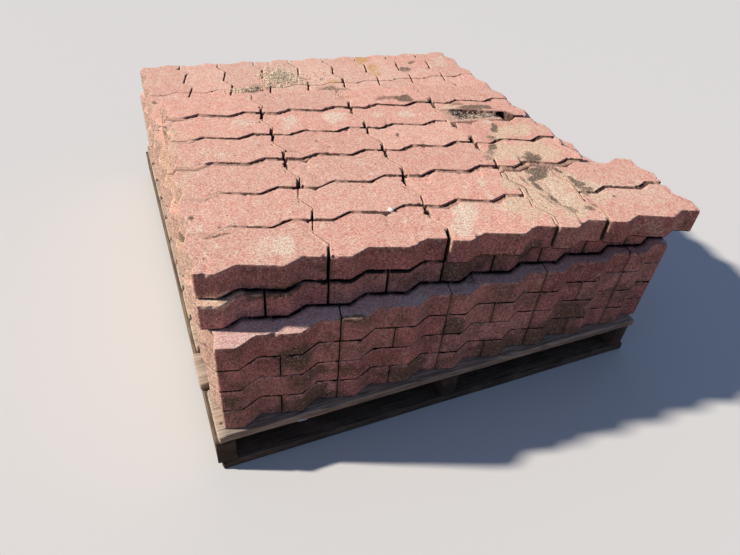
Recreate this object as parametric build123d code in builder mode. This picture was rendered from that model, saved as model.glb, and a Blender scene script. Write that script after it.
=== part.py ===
from build123d import *
from math import atan2, degrees
import os

os.makedirs("parts", exist_ok=True)

# Concrete paving block, a zigzag unit two modules long and one module wide
module = 112.5
block_thickness = 54.0
joint = 3.0
jog = 9.5
slope_run = 37.5
edge_bevel = 2.5

# Spacer nibs on the block's sides
nib_height = 2.0
nib_width = 8.0
nib_from_corner = 20.0
nib_below_top = 10.0

# Stack
layers_below_top = 5
columns = 9
rows = 10
core_gap = 2.0

# Pallet lumber
board_thickness = 19.0
board_width = 89.0
lead_board_width = 120.0
board_length = 1016.0
inner_deck_boards = 9
inner_bottom_boards = 3
board_bevel = 1.5
long_board_overhang = 11.0
long_board = 2
stringer_width = 38.0
stringer_height = 64.0
stringer_length = 1219.0
left_stringer_overhang = 6.0
right_stringer_inset = 10.0

# The stack's front left corner, from the deck's front left corner
stack_from_left = 14.0
stack_from_front = 16.5

# Layer 2 was set down askew, its columns a little open
second_shift = (-13.7, 49.4)
second_turn = -1.37
second_column_pitch = 114.5

# Layer 1 is partly used up: six rows are left, askew on layer 2
top_shift = (-13.5, 65.4)
top_turn = -3.9
top_column_pitch = 114.5
top_front_lines = [0.0, 117.0, 238.5, 360.0, 479.5, 605.0]
top_drift = [1.0, 2.5, 2.0, -0.5, -3.5, -5.0]

# Blocks of layer 1 out of line, by column and row: sideways, backwards, turn
knocked = {
    (0, 0): (0.5, 0.5, -1.6),
    (2, 0): (-2.0, -0.5, 0.9),
    (4, 0): (-1.5, -8.0, -1.2),
    (6, 0): (-0.5, -13.0, -0.8),
    (7, 0): (1.0, -22.5, -2.5),
    (7, 1): (2.5, -18.5, -1.3),
    (0, 1): (0.0, -0.5, -0.8),
    (2, 1): (-2.5, 1.5, 0.9),
    (4, 1): (-5.0, -1.0, -1.7),
    (0, 2): (0.0, -4.0, 0.4),
    (2, 2): (0.5, -1.5, 1.4),
    (4, 2): (0.5, 2.0, 0.0),
    (6, 2): (1.5, -4.5, -3.3),
    (2, 3): (0.0, 0.5, -0.6),
    (4, 3): (0.0, 1.5, 0.3),
    (6, 3): (3.5, -7.0, -1.4),
    (0, 4): (-0.5, 0.0, 0.5),
    (4, 4): (0.5, 1.5, 0.0),
    (6, 4): (3.0, 1.0, -1.2),
    (2, 5): (0.0, 0.5, 0.0),
    (4, 5): (0.5, 0.0, -0.5),
    (6, 5): (5.0, -7.0, -1.5),
}

# One block of layer 1 has lost its front, but for the right end, along a rough break
break_along = [-110.0, -88.0, -44.0, 0.0, 36.0, 60.0, 74.0, 82.0]
break_back = [4.0, 8.0, 4.0, -10.0, -20.0, -22.0, -42.0, -80.0]

half_flat = (module - slope_run) / 2
flat_tilt = degrees(atan2(jog, half_flat))
stringer_base = board_thickness
deck_base = stringer_base + stringer_height
deck_top = deck_base + board_thickness
stack_left = -board_length / 2 + stack_from_left
stack_front = -stringer_length / 2 + stack_from_front


def turned(vector, angle):
    """The flat vector turned about Z."""
    return vector.rotate(Axis.Z, angle)


def zigzag_side(corner, heading, modules):
    """Points of one side of a block, from its first corner to its last slope."""
    along = turned(Vector(1, 0), heading)
    inward = turned(Vector(0, 1), heading)
    points = [corner]
    for number in range(modules):
        points.append(corner + along * (number * module + half_flat) - inward * jog)
        points.append(corner + along * ((number + 1) * module - half_flat) + inward * jog)
    return points


def block_sides(long, wide):
    """Each side's first corner, heading and modules, for a block centred on the origin."""
    x = long * module / 2
    y = wide * module / 2
    return [
        (Vector(-x, -y), 0, long),
        (Vector(x, -y), 90, wide),
        (Vector(x, y), 180, long),
        (Vector(-x, y), 270, wide),
    ]


def nib_outline(corner, heading, number):
    """A nib's triangle on the flat that ends at a side's lattice point."""
    flat = turned(Vector(1, 0), heading - flat_tilt)
    outward = turned(flat, -90)
    foot = corner + turned(Vector(1, 0), heading) * (number * module) - flat * nib_from_corner
    root = foot - outward * (joint / 2 + edge_bevel / 5)
    tip = foot + outward * (nib_height - joint / 2)
    return [root - flat * (nib_width / 2), tip, root + flat * (nib_width / 2)]


def make_block(long, wide, bevelled, nibbed):
    """One paving block, centred in plan, standing on z = 0."""
    sides = block_sides(long, wide)
    with BuildPart() as block:
        with BuildSketch():
            with BuildLine():
                Polyline(*[p for side in sides for p in zigzag_side(*side)], close=True)
            make_face()
            offset(amount=-joint / 2, kind=Kind.INTERSECTION)
        extrude(amount=block_thickness)
        if bevelled:
            chamfer(block.faces().sort_by(Axis.Z)[-1].edges(), length=edge_bevel)
        if nibbed:
            with BuildSketch():
                for corner, heading, modules in sides:
                    for number in range(1, modules + 1):
                        with BuildLine():
                            Polyline(*nib_outline(corner, heading, number), close=True)
                        make_face()
            extrude(amount=block_thickness - nib_below_top)
    return block.part


def make_broken_block(whole):
    """The back and the right end of a block, cut off along a rough break in front."""
    reach = module + 2 * jog
    rough = list(zip(break_along, break_back))
    ends = [(break_along[-1], -reach), (-reach, -reach), (-reach, break_back[0])]
    with BuildPart() as rest:
        add(whole)
        with BuildSketch():
            with BuildLine():
                Polyline(*rough, *ends, close=True)
            make_face()
        extrude(amount=block_thickness, mode=Mode.SUBTRACT)
    return rest.part


def is_edge(column, row, long, wide):
    """Whether a block of a full layer shows on one of the stack's sides."""
    at_side = column == 0 or column + long == columns
    return at_side or row == 0 or row + wide == rows


def layer_plane(shift, turn, layer):
    """The plane a layer stands on, at its front left corner."""
    x, y = shift
    height = deck_top + (layers_below_top + 1 - layer) * block_thickness
    return Plane(Location((stack_left + x, stack_front + y, height), (0, 0, turn)))


def block_place(column, row, long, wide, column_pitch=module):
    """A block's centre in its layer."""
    return Location(((column + long / 2) * column_pitch, (row + wide / 2) * module, 0))


def coursed_layer():
    """Blocks of a layer of long rows, closed by a column of turned blocks."""
    long_blocks = [(pair * 2, row) for row in range(rows) for pair in range(columns // 2)]
    turned_blocks = [(columns - 1, row) for row in range(0, rows, 2)]
    return long_blocks, turned_blocks


def turned_layer():
    """Blocks of a layer of turned blocks only."""
    return [(column, row) for column in range(columns) for row in range(0, rows, 2)]


def top_layer():
    """Blocks left on layer 1, by column and row: the long ones, a turned one and the broken one."""
    long_blocks = [(0, 0), (2, 0), (4, 0), (7, 0), (0, 1), (2, 1), (4, 1), (7, 1)]
    long_blocks += [(column, row) for row in range(2, 6) for column in (0, 2, 4, 6)]
    broken = (6, 4)
    return [spot for spot in long_blocks if spot != broken], [(6, 0)], broken


def top_place(column, row, long, wide):
    """Where a block of layer 1 lies, with its drift, its knock and its turn."""
    aside, back, turn = knocked.get((column, row), (0.0, 0.0, 0.0))
    x = (column + long / 2) * top_column_pitch + top_drift[row] + aside
    y = top_front_lines[row] + wide * module / 2 + back
    return Location((x, y, 0), (0, 0, turn))


bevelled_long = make_block(2, 1, True, False)
bevelled_turned = make_block(1, 2, True, False)
nibbed_long = make_block(2, 1, True, True)
nibbed_turned = make_block(1, 2, True, True)
plain_long = make_block(2, 1, False, False)
plain_turned = make_block(1, 2, False, False)
broken_long = make_broken_block(bevelled_long)

# Layer 1, the loose one
long_places, turned_places, broken_place = top_layer()
with BuildPart(layer_plane(top_shift, top_turn, 1)) as layer_1:
    with Locations(*[top_place(*spot, 2, 1) for spot in long_places]):
        add(nibbed_long)
    with Locations(*[top_place(*spot, 1, 2) for spot in turned_places]):
        add(nibbed_turned)
    with Locations(top_place(*broken_place, 2, 1)):
        add(broken_long)
layer_1.part.label = "layer_1_blocks"
export_step(layer_1.part, "parts/layer_1_blocks.step")

# Layer 2: its edge blocks, and the two back courses that layer 1 leaves bare
bare_from = 6
with BuildPart(layer_plane(second_shift, second_turn, 2)) as layer_2:
    spots = [s for s in turned_layer() if is_edge(*s, 1, 2) or s[1] >= bare_from]
    with Locations(*[block_place(*s, 1, 2, second_column_pitch) for s in spots]):
        add(bevelled_turned)
layer_2.part.label = "layer_2_blocks"
export_step(layer_2.part, "parts/layer_2_blocks.step")

# Layers 3 to 6: the blocks that show on the stack's sides
for layer in range(3, layers_below_top + 2):
    long_spots, turned_spots = coursed_layer() if layer % 2 else ([], turned_layer())
    long_shape = bevelled_long if layer == 3 else plain_long
    turned_shape = bevelled_turned if layer == 3 else plain_turned
    with BuildPart(layer_plane((0, 0), 0, layer)) as lower_layer:
        long_edge = [s for s in long_spots if is_edge(*s, 2, 1)]
        if long_edge:
            with Locations(*[block_place(*s, 2, 1) for s in long_edge]):
                add(long_shape)
        with Locations(*[block_place(*s, 1, 2) for s in turned_spots if is_edge(*s, 1, 2)]):
            add(turned_shape)
    lower_layer.part.label = f"layer_{layer}_blocks"
    export_step(lower_layer.part, f"parts/layer_{layer}_blocks.step")


def core_slab(left, right, front, back, column_pitch=module):
    """Size and middle of a plain slab in the room of one layer's hidden blocks."""
    inset = jog + joint / 2 + core_gap
    width = (right - left) * column_pitch - 2 * inset
    depth = (back - front) * module - 2 * inset
    middle = ((left + right) / 2 * column_pitch, (front + back) / 2 * module)
    return width, depth, middle


# The hidden blocks inside layers 2 to 6
covered = core_slab(1, columns - 1, 2, bare_from, second_column_pitch)
hidden = [(layer_plane(second_shift, second_turn, 2), covered)]
for layer in range(3, layers_below_top + 2):
    left, front = (2, 1) if layer % 2 else (1, 2)
    hidden.append((layer_plane((0, 0), 0, layer), core_slab(left, columns - 1, front, rows - front)))
with BuildPart() as core:
    for corner, (width, depth, middle) in hidden:
        with BuildSketch(corner):
            with Locations(middle):
                Rectangle(width, depth)
        extrude(amount=block_thickness)
core.part.label = "hidden_inner_blocks"
export_step(core.part, "parts/hidden_inner_blocks.step")


def make_board(width, length, centre, base):
    """One deck or bottom board across the stringers, its long edges eased."""
    x, y = centre
    with BuildPart(Plane.XY.offset(base)) as board:
        with Locations((x, y)):
            Box(length, width, board_thickness, align=(Align.CENTER, Align.CENTER, Align.MIN))
        chamfer(board.edges().filter_by(Axis.X), length=board_bevel)
    return board.part


def board_lines(inner_boards):
    """Each board's width and place along the pallet, lead boards first and last."""
    open_length = stringer_length - 2 * lead_board_width - inner_boards * board_width
    gap = open_length / (inner_boards + 1)
    front = -stringer_length / 2
    lines = []
    for number in range(inner_boards + 2):
        lead = number in (0, inner_boards + 1)
        width = lead_board_width if lead else board_width
        lines.append((width, front + width / 2))
        front += width + gap
    return lines


# Deck boards, front to back; one is longer and sticks out on the left
for number, (width, y) in enumerate(board_lines(inner_deck_boards), start=1):
    extra = long_board_overhang if number == long_board else 0
    board = make_board(width, board_length + extra, (-extra / 2, y), deck_base)
    board.label = f"deck_board_{number}"
    export_step(board, f"parts/deck_board_{number}.step")

# Bottom boards, front to back
for number, (width, y) in enumerate(board_lines(inner_bottom_boards), start=1):
    board = make_board(width, board_length, (0, y), 0)
    board.label = f"bottom_board_{number}"
    export_step(board, f"parts/bottom_board_{number}.step")

# Stringers, the outer ones set by the ends of the boards
left_x = -board_length / 2 - left_stringer_overhang + stringer_width / 2
right_x = board_length / 2 - right_stringer_inset - stringer_width / 2
for name, x in (("left", left_x), ("middle", (left_x + right_x) / 2), ("right", right_x)):
    with BuildPart(Plane.XY.offset(stringer_base)) as stringer:
        with Locations((x, 0)):
            Box(stringer_width, stringer_length, stringer_height, align=(Align.CENTER, Align.CENTER, Align.MIN))
        chamfer(stringer.edges().filter_by(Axis.Y), length=board_bevel)
    stringer.part.label = f"stringer_{name}"
    export_step(stringer.part, f"parts/stringer_{name}.step")
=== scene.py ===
"""A weathered pallet of zigzag paving blocks: meshes, finishes, light and camera."""

import logging
import math
from dataclasses import dataclass, field, replace
from enum import Enum
from typing import Dict, List, NamedTuple, Optional, Sequence, Tuple

import bmesh
import bpy
import numpy as np
from mathutils import Matrix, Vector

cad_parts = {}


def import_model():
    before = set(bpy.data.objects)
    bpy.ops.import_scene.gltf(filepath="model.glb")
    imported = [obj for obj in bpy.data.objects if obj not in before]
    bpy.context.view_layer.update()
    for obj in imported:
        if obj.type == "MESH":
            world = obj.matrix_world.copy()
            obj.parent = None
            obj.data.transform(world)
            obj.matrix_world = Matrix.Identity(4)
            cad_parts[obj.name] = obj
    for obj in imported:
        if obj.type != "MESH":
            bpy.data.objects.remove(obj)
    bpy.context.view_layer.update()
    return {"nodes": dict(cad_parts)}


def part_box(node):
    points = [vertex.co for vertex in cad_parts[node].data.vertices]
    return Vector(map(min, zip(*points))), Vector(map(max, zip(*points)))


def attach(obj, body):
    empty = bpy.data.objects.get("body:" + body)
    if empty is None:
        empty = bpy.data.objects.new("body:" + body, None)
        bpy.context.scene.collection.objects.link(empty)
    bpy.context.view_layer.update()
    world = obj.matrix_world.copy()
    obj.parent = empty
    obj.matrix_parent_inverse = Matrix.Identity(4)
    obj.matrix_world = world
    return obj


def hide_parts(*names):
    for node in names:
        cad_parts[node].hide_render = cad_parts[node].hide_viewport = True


LOG = logging.getLogger("pallet")
BODY = "root"
BARE_TOP = 0.426
SECOND_TOP = 0.372
Array = np.ndarray
Colour = Tuple[float, float, float]
Faces = List[List[int]]
Masks = Dict[str, Array]
Shell = Tuple[Array, Faces, Masks]
Material = bpy.types.Material
Node = bpy.types.Node
Outputs = bpy.types.bpy_prop_collection
Piece = bpy.types.Object
Socket = bpy.types.NodeSocket
Tree = bpy.types.NodeTree


class Course(Enum):
    """The layers of the stack, from the top, by their nodes in the frame."""

    LOOSE = "layer_1_blocks"
    SECOND = "layer_2_blocks"
    THIRD = "layer_3_blocks"
    FOURTH = "layer_4_blocks"
    FIFTH = "layer_5_blocks"
    SIXTH = "layer_6_blocks"


class Mark(Enum):
    """Kinds of weathering that lie on a block, each a mask on its mesh."""

    BLEACH = "bleach"
    TAN = "tan"
    GREY = "grey"
    ORANGE = "orange"
    OLIVE = "olive"


def value_noise(points: Array, scale: float, seed: int = 0) -> Array:
    """Smooth lattice noise.

    Args:
        points: Positions, one row each, in metres.
        scale: Size of the noise's cells, in metres.
        seed: Number that picks another pattern.

    Returns:
        One value per point, from -1 to 1.
    """
    p = points / scale + 113.7
    cell = np.floor(p).astype(np.int64)
    part = p - cell
    part = part * part * (3 - 2 * part)
    total = np.zeros(len(p))
    for corner in range(8):
        step = np.array([(corner >> axis) & 1 for axis in range(3)])
        q = cell + step
        n = (q[:, 0] * 73856093) ^ (q[:, 1] * 19349663) ^ (q[:, 2] * 83492791) ^ (seed * 2654435761)
        n = ((n ^ (n >> 13)) * 1274126177) & 0x7FFFFFFF
        n = (n ^ (n >> 15)) & 0xFFFF
        weight = np.prod(np.where(step == 1, part, 1 - part), axis=1)
        total += weight * (n / 32767.5 - 1)
    return total


def smooth_step(low: float, high: float, x: Array) -> Array:
    """Eased ramp from 0 at low to 1 at high."""
    t = np.clip((x - low) / (high - low), 0, 1)
    return t * t * (3 - 2 * t)


def turned(points: Array, angle: float) -> Array:
    """Turns points about Z, whether they are flat or not.

    Args:
        points: One point, or one in each row.
        angle: The turn in radians.

    Returns:
        The turned points.
    """
    c, s = math.cos(angle), math.sin(angle)
    out = np.array(points, float)
    out[..., 0] = points[..., 0] * c - points[..., 1] * s
    out[..., 1] = points[..., 0] * s + points[..., 1] * c
    return out


def tube_faces(rings: int, around: int, outward: bool = True) -> Faces:
    """Faces of a closed tube whose points are set ring by ring.

    Args:
        rings: Count of rings.
        around: Points in each ring.
        outward: Whether the rings turn anticlockwise as seen from the last one.

    Returns:
        The quads between the rings, the first ring's face and the last one's.
    """
    faces = [[a + j, a + (j + 1) % around, a + around + (j + 1) % around, a + around + j]
             for a in range(0, (rings - 1) * around, around) for j in range(around)]
    last = (rings - 1) * around
    faces += [list(range(around))[::-1], list(range(last, last + around))]
    return faces if outward else [face[::-1] for face in faces]


@dataclass
class MeshData:
    """Vertices, faces and masks of a piece while it is put together."""

    points: List[Array] = field(default_factory=list)
    faces: Faces = field(default_factory=list)
    masks: Dict[str, List[Array]] = field(default_factory=dict)
    count: int = 0

    def add(self, points: Array, faces: Sequence[Sequence[int]], masks: Masks) -> None:
        """Adds one closed shell with its masks.

        Args:
            points: Its vertices.
            faces: Its faces, numbered within the shell.
            masks: Values per vertex by mask name. Every shell of a piece has the same names.
        """
        base = self.count
        self.faces.extend([base + i for i in face] for face in faces)
        self.points.append(points)
        for name, values in masks.items():
            self.masks.setdefault(name, []).append(np.asarray(values, np.float32))
        self.count += len(points)

    def to_object(self, name: str, material: Material, smooth: bool = True) -> Piece:
        """Makes the piece in the scene.

        Args:
            name: The piece's name.
            material: Its finish.
            smooth: Whether its faces shade smoothly.

        Returns:
            The new object, at the frame's origin.
        """
        mesh = bpy.data.meshes.new(name)
        mesh.from_pydata(np.concatenate(self.points).tolist(), [], self.faces)
        mesh.polygons.foreach_set("use_smooth", [smooth] * len(mesh.polygons))
        for mask, parts in self.masks.items():
            layer = mesh.attributes.new(mask, "FLOAT", "POINT")
            layer.data.foreach_set("value", np.concatenate(parts))
        mesh.materials.append(material)
        mesh.update()
        piece = bpy.data.objects.new(name, mesh)
        bpy.context.scene.collection.objects.link(piece)
        return piece


def slab(sides: Sequence[Array], rings: Sequence[Tuple[float, Array]], top_grid: bool) -> Tuple[Array, Faces]:
    """A closed slab: walls of rings round a four-sided outline, with a gridded or plain top.

    Args:
        sides: Four runs of flat points round the outline, each without its last point.
        rings: Height and inset from the outline of each ring, from the bottom to the top.
        top_grid: Whether the top is a grid of quads. Otherwise it is one face.

    Returns:
        Vertices and faces.
    """
    loop = np.concatenate(sides)
    m = len(loop)
    ahead, behind = np.roll(loop, -1, 0), np.roll(loop, 1, 0)
    tangent = ahead - behind
    tangent /= np.linalg.norm(tangent, axis=1)[:, None]
    inward = np.stack([-tangent[:, 1], tangent[:, 0]], 1)
    points = [np.column_stack([loop + inward * np.broadcast_to(inset, m)[:, None], np.broadcast_to(z, m)])
              for z, inset in rings]
    faces = tube_faces(len(rings), m)
    if not top_grid:
        return np.concatenate(points), faces
    faces.pop()
    last = (len(rings) - 1) * m
    nx, ny = len(sides[0]), len(sides[1])
    ring = points[-1]
    bottom, right = ring[:nx + 1], ring[nx:nx + ny + 1]
    top = ring[nx + ny:2 * nx + ny + 1][::-1]
    left = np.concatenate([ring[2 * nx + ny:], ring[:1]])[::-1]
    u = np.linspace(0, 1, nx + 1)[:, None, None]
    v = np.linspace(0, 1, ny + 1)[None, :, None]
    coons = (1 - v) * bottom[:, None] + v * top[:, None] + (1 - u) * left[None] + u * right[None]
    coons -= (1 - u) * (1 - v) * bottom[0] + u * (1 - v) * bottom[-1] + (1 - u) * v * top[0] + u * v * top[-1]
    number = np.zeros((nx + 1, ny + 1), int)
    number[:, 0] = last + np.arange(nx + 1)
    number[nx, :] = last + nx + np.arange(ny + 1)
    number[:, ny] = last + nx + ny + np.arange(nx + 1)[::-1]
    number[0, 1:] = last + 2 * nx + ny + np.arange(ny)[::-1]
    number[1:nx, 1:ny] = len(rings) * m + np.arange((nx - 1) * (ny - 1)).reshape(nx - 1, ny - 1)
    points.append(coons[1:nx, 1:ny].reshape(-1, 3))
    a, b, c, d = number[:-1, :-1], number[1:, :-1], number[1:, 1:], number[:-1, 1:]
    faces.extend(np.stack([a, b, c, d], -1).reshape(-1, 4).tolist())
    return np.concatenate(points), faces


@dataclass(frozen=True)
class Place:
    """Where one block lies: its middle, its foot's height and its turn in radians."""

    x: float
    y: float
    foot: float
    turn: float
    broken: bool = False


@dataclass(frozen=True)
class PaverShape:
    """One zigzag paving block, two modules long and one wide, in metres."""

    module: float = 0.1125
    thickness: float = 0.054
    joint: float = 0.0018
    jog: float = 0.0095
    arris: float = 0.0017
    nib_height: float = 0.0018
    nib_width: float = 0.0036
    nib_from_corner: float = 0.020
    nib_top: float = 0.045
    break_line: Tuple[Tuple[float, float], ...] = (
        (-0.1315, 0.004), (-0.110, 0.004), (-0.088, 0.008), (-0.044, 0.004), (0.0, -0.010),
        (0.036, -0.020), (0.060, -0.022), (0.074, -0.042), (0.082, -0.080))
    corner_round: float = 0.0023

    def corners(self) -> Array:
        """The outline's corner points with the joint taken off, front side first.

        Returns:
            Points in order round the block, three to a module.
        """
        points, x, y = [], self.module, self.module / 2
        runs = (((-x, -y), 0, 2), ((x, -y), 90, 1), ((x, y), 180, 2), ((-x, y), 270, 1))
        for corner, heading, modules in runs:
            side = []
            for n in range(modules):
                side += [(n, 0.0), (n + 1 / 3, -self.jog), (n + 2 / 3, self.jog)]
            flat = np.array([(a * self.module, b) for a, b in side])
            points.append(turned(flat, math.radians(heading)) + corner)
        loop = np.concatenate(points)
        before = loop - np.roll(loop, 1, 0)
        after = np.roll(loop, -1, 0) - loop
        normals = []
        for edge in (before, after):
            edge = edge / np.linalg.norm(edge, axis=1)[:, None]
            normals.append(np.stack([-edge[:, 1], edge[:, 0]], 1))
        share = 1 + (normals[0] * normals[1]).sum(1)
        return loop + (normals[0] + normals[1]) * (self.joint / 2 / share)[:, None]

    def sides(self, steps: int) -> List[Array]:
        """The outline with rounded corners as four runs of points.

        Args:
            steps: Points to each third of a module.

        Returns:
            Runs of six, three, six and three thirds of a module.
        """
        loop = self.corners()
        ahead = np.roll(loop, -1, 0)
        t = (np.arange(steps) / steps)[None, :, None]
        dense = (loop[:, None] * (1 - t) + ahead[:, None] * t).reshape(-1, 2)
        gap = self.module / 3 / steps
        reach = int(math.ceil(4 * self.corner_round / gap))
        weights = np.exp(-0.5 * (np.arange(-reach, reach + 1) * gap / self.corner_round) ** 2)
        weights /= weights.sum()
        rounded = sum(w * np.roll(dense, k, 0) for k, w in zip(range(-reach, reach + 1), weights))
        ends = np.cumsum([6 * steps, 3 * steps, 6 * steps])
        return np.split(rounded, ends)

    def nibs(self, steps: int) -> Array:
        """How far the spacer nibs stand out along the whole outline.

        Args:
            steps: Points to each third of a module.

        Returns:
            One height for each point that sides() gives.
        """
        along = np.tile(np.arange(3 * steps) / steps, 6)
        tilt = math.hypot(self.module / 3, self.jog)
        offset = (along - 3) * tilt + self.nib_from_corner
        return self.nib_height * np.exp(-(offset / self.nib_width) ** 2)

    def break_depth(self, x: Array) -> Array:
        """Where the broken block's front ends, by the place along its length."""
        line = np.array(self.break_line)
        return np.interp(x, line[:, 0], line[:, 1])


@dataclass(frozen=True)
class Patch:
    """A soft-edged patch of weathering, an ellipsoid in the frame with slanted axes, in metres."""

    kind: Mark
    centre: Tuple[float, float, float]
    axes: Tuple[Tuple[float, float, float], ...]
    strength: float = 1.0
    ragged: float = 0.38

    def mask(self, points: Array, noise: Array) -> Array:
        """How strongly the patch covers each point.

        Args:
            points: Positions in the frame.
            noise: Noise per point that breaks up the patch's outline.

        Returns:
            Cover from 0 to strength.
        """
        local = (points - np.array(self.centre)) @ np.linalg.inv(np.array(self.axes))
        distance = np.linalg.norm(local, axis=1) + self.ragged * noise
        return self.strength * (1 - smooth_step(0.45, 1.15, distance))


@dataclass
class PaverStack:
    """The six layers of blocks, each one piece that stands for its node."""

    shape: PaverShape = field(default_factory=PaverShape)
    steps_top: int = 9
    steps_low: int = 8
    frame_joint: float = 0.003
    near: float = 0.30
    chips: int = 12
    big_chips: int = 5
    big_chip: Tuple[Tuple[float, float], ...] = ((0.0026, 0.0058), (0.0026, 0.0050))
    small_chip: Tuple[Tuple[float, float], ...] = ((0.0005, 0.0022), (0.0020, 0.0060))
    foot_wear: Tuple[float, float] = (0.0014, 0.0029)
    foot_rings: int = 3
    arris_rings: int = 4
    corner_slack: float = 0.004
    rim_width: float = 0.007
    inner_fades: Tuple[float, float] = (0.0032, 0.0006)
    break_band: Tuple[float, float] = (0.002, 0.010)
    # Reach of the joint dirt and painted shade beside a block lying on top, then of its painted contact
    # shadow.
    dirt_and_shade_band: Tuple[float, float] = (0.003, 0.011)
    contact_band: Tuple[float, float] = (0.0008, 0.0046)
    whole_misses: int = 4
    # X from which the dirt and painted shade under upper blocks begin; the sunlit left end stays without
    # them.
    painted_shade_from_x: Tuple[float, float] = (-0.475, -0.450)
    patches: Tuple[Patch, ...] = ()
    places: Dict[Course, List[Place]] = field(default_factory=dict)

    def read_places(self, course: Course, node: Piece) -> List[Place]:
        """Finds each block of a layer in its node's mesh.

        Args:
            course: The layer.
            node: The frame's object for it.

        Returns:
            One place per block.
        """
        co = np.zeros(len(node.data.vertices) * 3, np.float32)
        node.data.vertices.foreach_get("co", co)
        co = co.reshape(-1, 3).astype(float)
        spots, number = np.unique(np.round(co, 5), axis=0, return_inverse=True)
        number = number.ravel()
        label = np.arange(len(spots))
        edges = np.array([[number[a] for a in e.vertices] for e in node.data.edges])
        while True:
            low = np.minimum(label[edges[:, 0]], label[edges[:, 1]])
            fresh = label.copy()
            np.minimum.at(fresh, edges[:, 0], low)
            np.minimum.at(fresh, edges[:, 1], low)
            if (fresh == label).all():
                break
            label = fresh
        whole = replace(self.shape, joint=self.frame_joint).corners()
        reach = self._longest(whole)
        found = []
        for part in np.unique(label):
            solid = spots[label == part]
            foot = solid[:, 2].min()
            base = np.unique(np.round(solid[solid[:, 2] < foot + 0.001][:, :2], 5), axis=0)
            pair = self._longest(base)
            turn = self._heading(pair) - self._heading(reach)
            turn = (turn + math.pi / 4) % math.pi - math.pi / 4
            middle = pair.mean(0)
            ideal = turned(whole, turn) + middle
            missing = np.linalg.norm(ideal[:, None] - base[None], axis=2).min(1) > self.corner_slack
            found.append(Place(middle[0], middle[1], foot, turn, bool(missing.sum() > self.whole_misses)))
        self.places[course] = found
        return found

    @staticmethod
    def _longest(points: Array) -> Array:
        """The two points that lie farthest apart.

        Args:
            points: Flat points.

        Returns:
            Two of them.
        """
        gaps = np.linalg.norm(points[:, None] - points[None], axis=2)
        a, b = np.unravel_index(gaps.argmax(), gaps.shape)
        return points[[a, b]]

    def _is_near(self, place: Place, other: Place) -> bool:
        """Whether two blocks can touch."""
        return math.hypot(other.x - place.x, other.y - place.y) < self.near

    @staticmethod
    def _heading(pair: Array) -> float:
        """Direction from the first of two points to the second."""
        return math.atan2(pair[1][1] - pair[0][1], pair[1][0] - pair[0][0])

    def inner_share(self, place: Place, loop: Array, others: Sequence[Place]) -> Array:
        """How much each point of a block's outline faces a neighbour in the same layer.

        Args:
            place: The block's place.
            loop: Its outline, in its own directions.
            others: The layer's blocks.

        Returns:
            A share from 0 to 1 per point.
        """
        ahead = np.roll(loop, -1, 0) - np.roll(loop, 1, 0)
        ahead /= np.linalg.norm(ahead, axis=1)[:, None]
        outward = np.stack([ahead[:, 1], -ahead[:, 0]], 1)
        probe = turned(loop + outward * 0.013, place.turn) + (place.x, place.y)
        inside = np.zeros(len(loop), bool)
        ring = self.shape.corners()
        for other in others:
            if other is place or not self._is_near(place, other):
                continue
            local = turned(probe - (other.x, other.y), -other.turn)
            a, b = ring[None], np.roll(ring, -1, 0)[None]
            crosses = (a[..., 1] > local[:, None, 1]) != (b[..., 1] > local[:, None, 1])
            rise = np.where(a[..., 1] == b[..., 1], 1e-9, b[..., 1] - a[..., 1])
            meet = a[..., 0] + (local[:, None, 1] - a[..., 1]) / rise * (b[..., 0] - a[..., 0])
            inside |= ((crosses & (local[:, None, 0] < meet)).sum(1) % 2).astype(bool)
        kernel = np.array([1, 2, 3, 2, 1]) / 9
        share = inside.astype(float)
        return sum(w * np.roll(share, k) for w, k in zip(kernel, (-2, -1, 0, 1, 2)))

    def _chipping(self, loop: Array, flat: Array, order: int, rng: np.random.Generator) -> Array:
        """Chips along the top edge of a block.

        Args:
            loop: The block's outline.
            flat: Places of its points in the noise.
            order: Its layer, 0 at the top.
            rng: Source of the chips' places and sizes.

        Returns:
            How deep the chips go at each point.
        """
        step = np.linalg.norm(np.roll(loop, -1, 0) - loop, axis=1)
        run, total = np.concatenate([[0], np.cumsum(step)[:-1]]), step.sum()
        chip = np.zeros(len(loop))
        for n in range(self.chips):
            gap = np.abs(run - rng.uniform(0, total))
            gap = np.minimum(gap, total - gap)
            size, reach = self.big_chip if n < self.big_chips else self.small_chip
            chip += rng.uniform(*size) * np.exp(-(gap / rng.uniform(*reach)) ** 2)
        if order < 2:
            chip += 0.0016 * np.clip(value_noise(flat, 0.0055, 9) - 0.15, 0, 1)
        return chip

    def _rings(self, nib: Array, chip: Array, flat: Array, order: int) -> List[Tuple[object, Array]]:
        """Rings of a worn block's wall, from its frayed foot to its rounded arris.

        Args:
            nib: How far the spacer nibs stand out at each point of the outline.
            chip: How deep the chips go there.
            flat: Places of the points in the noise.
            order: Its layer, 0 at the top.

        Returns:
            Height and inset of each ring.
        """
        top, shape = self.shape.thickness, self.shape
        waver = 0.0004 * value_noise(flat, 0.030, 1) + 0.00022 * value_noise(flat, 0.007, 2)
        arris = np.clip(shape.arris * (1 + 0.25 * value_noise(flat, 0.012, 3)) + 0.3 * chip, 0.001, 0.005)
        frayed = np.clip(value_noise(flat, 0.005, 7) + 0.3 * value_noise(flat, 0.018, 8), -0.6, 1)
        under = self.foot_wear[order < 2] + 0.0010 * frayed
        rings = [(0.0, waver + under), (0.4 * under, waver + 0.4 * under), (1.1 * under, waver - 0.5 * nib),
                 (1.1 * under + 0.0009, waver - nib)]
        for z in (0.015, 0.030, shape.nib_top - 0.0018):
            rings.append((z, waver + 0.00035 * value_noise(flat + (0, 0, z), 0.009, 4) - nib))
        rings.append((shape.nib_top, waver))
        rings.append((top - arris - 0.0009 - 0.7 * chip, waver + 0.12 * chip))
        for part in (0.0, 0.35, 0.75, 1.0):
            angle = part * math.pi / 2
            rings.append((top - arris * (1 - math.sin(angle)) - 0.55 * chip * (1 - 0.6 * part),
                          waver + arris * (1 - math.cos(angle)) + 0.7 * chip))
        return rings

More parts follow.
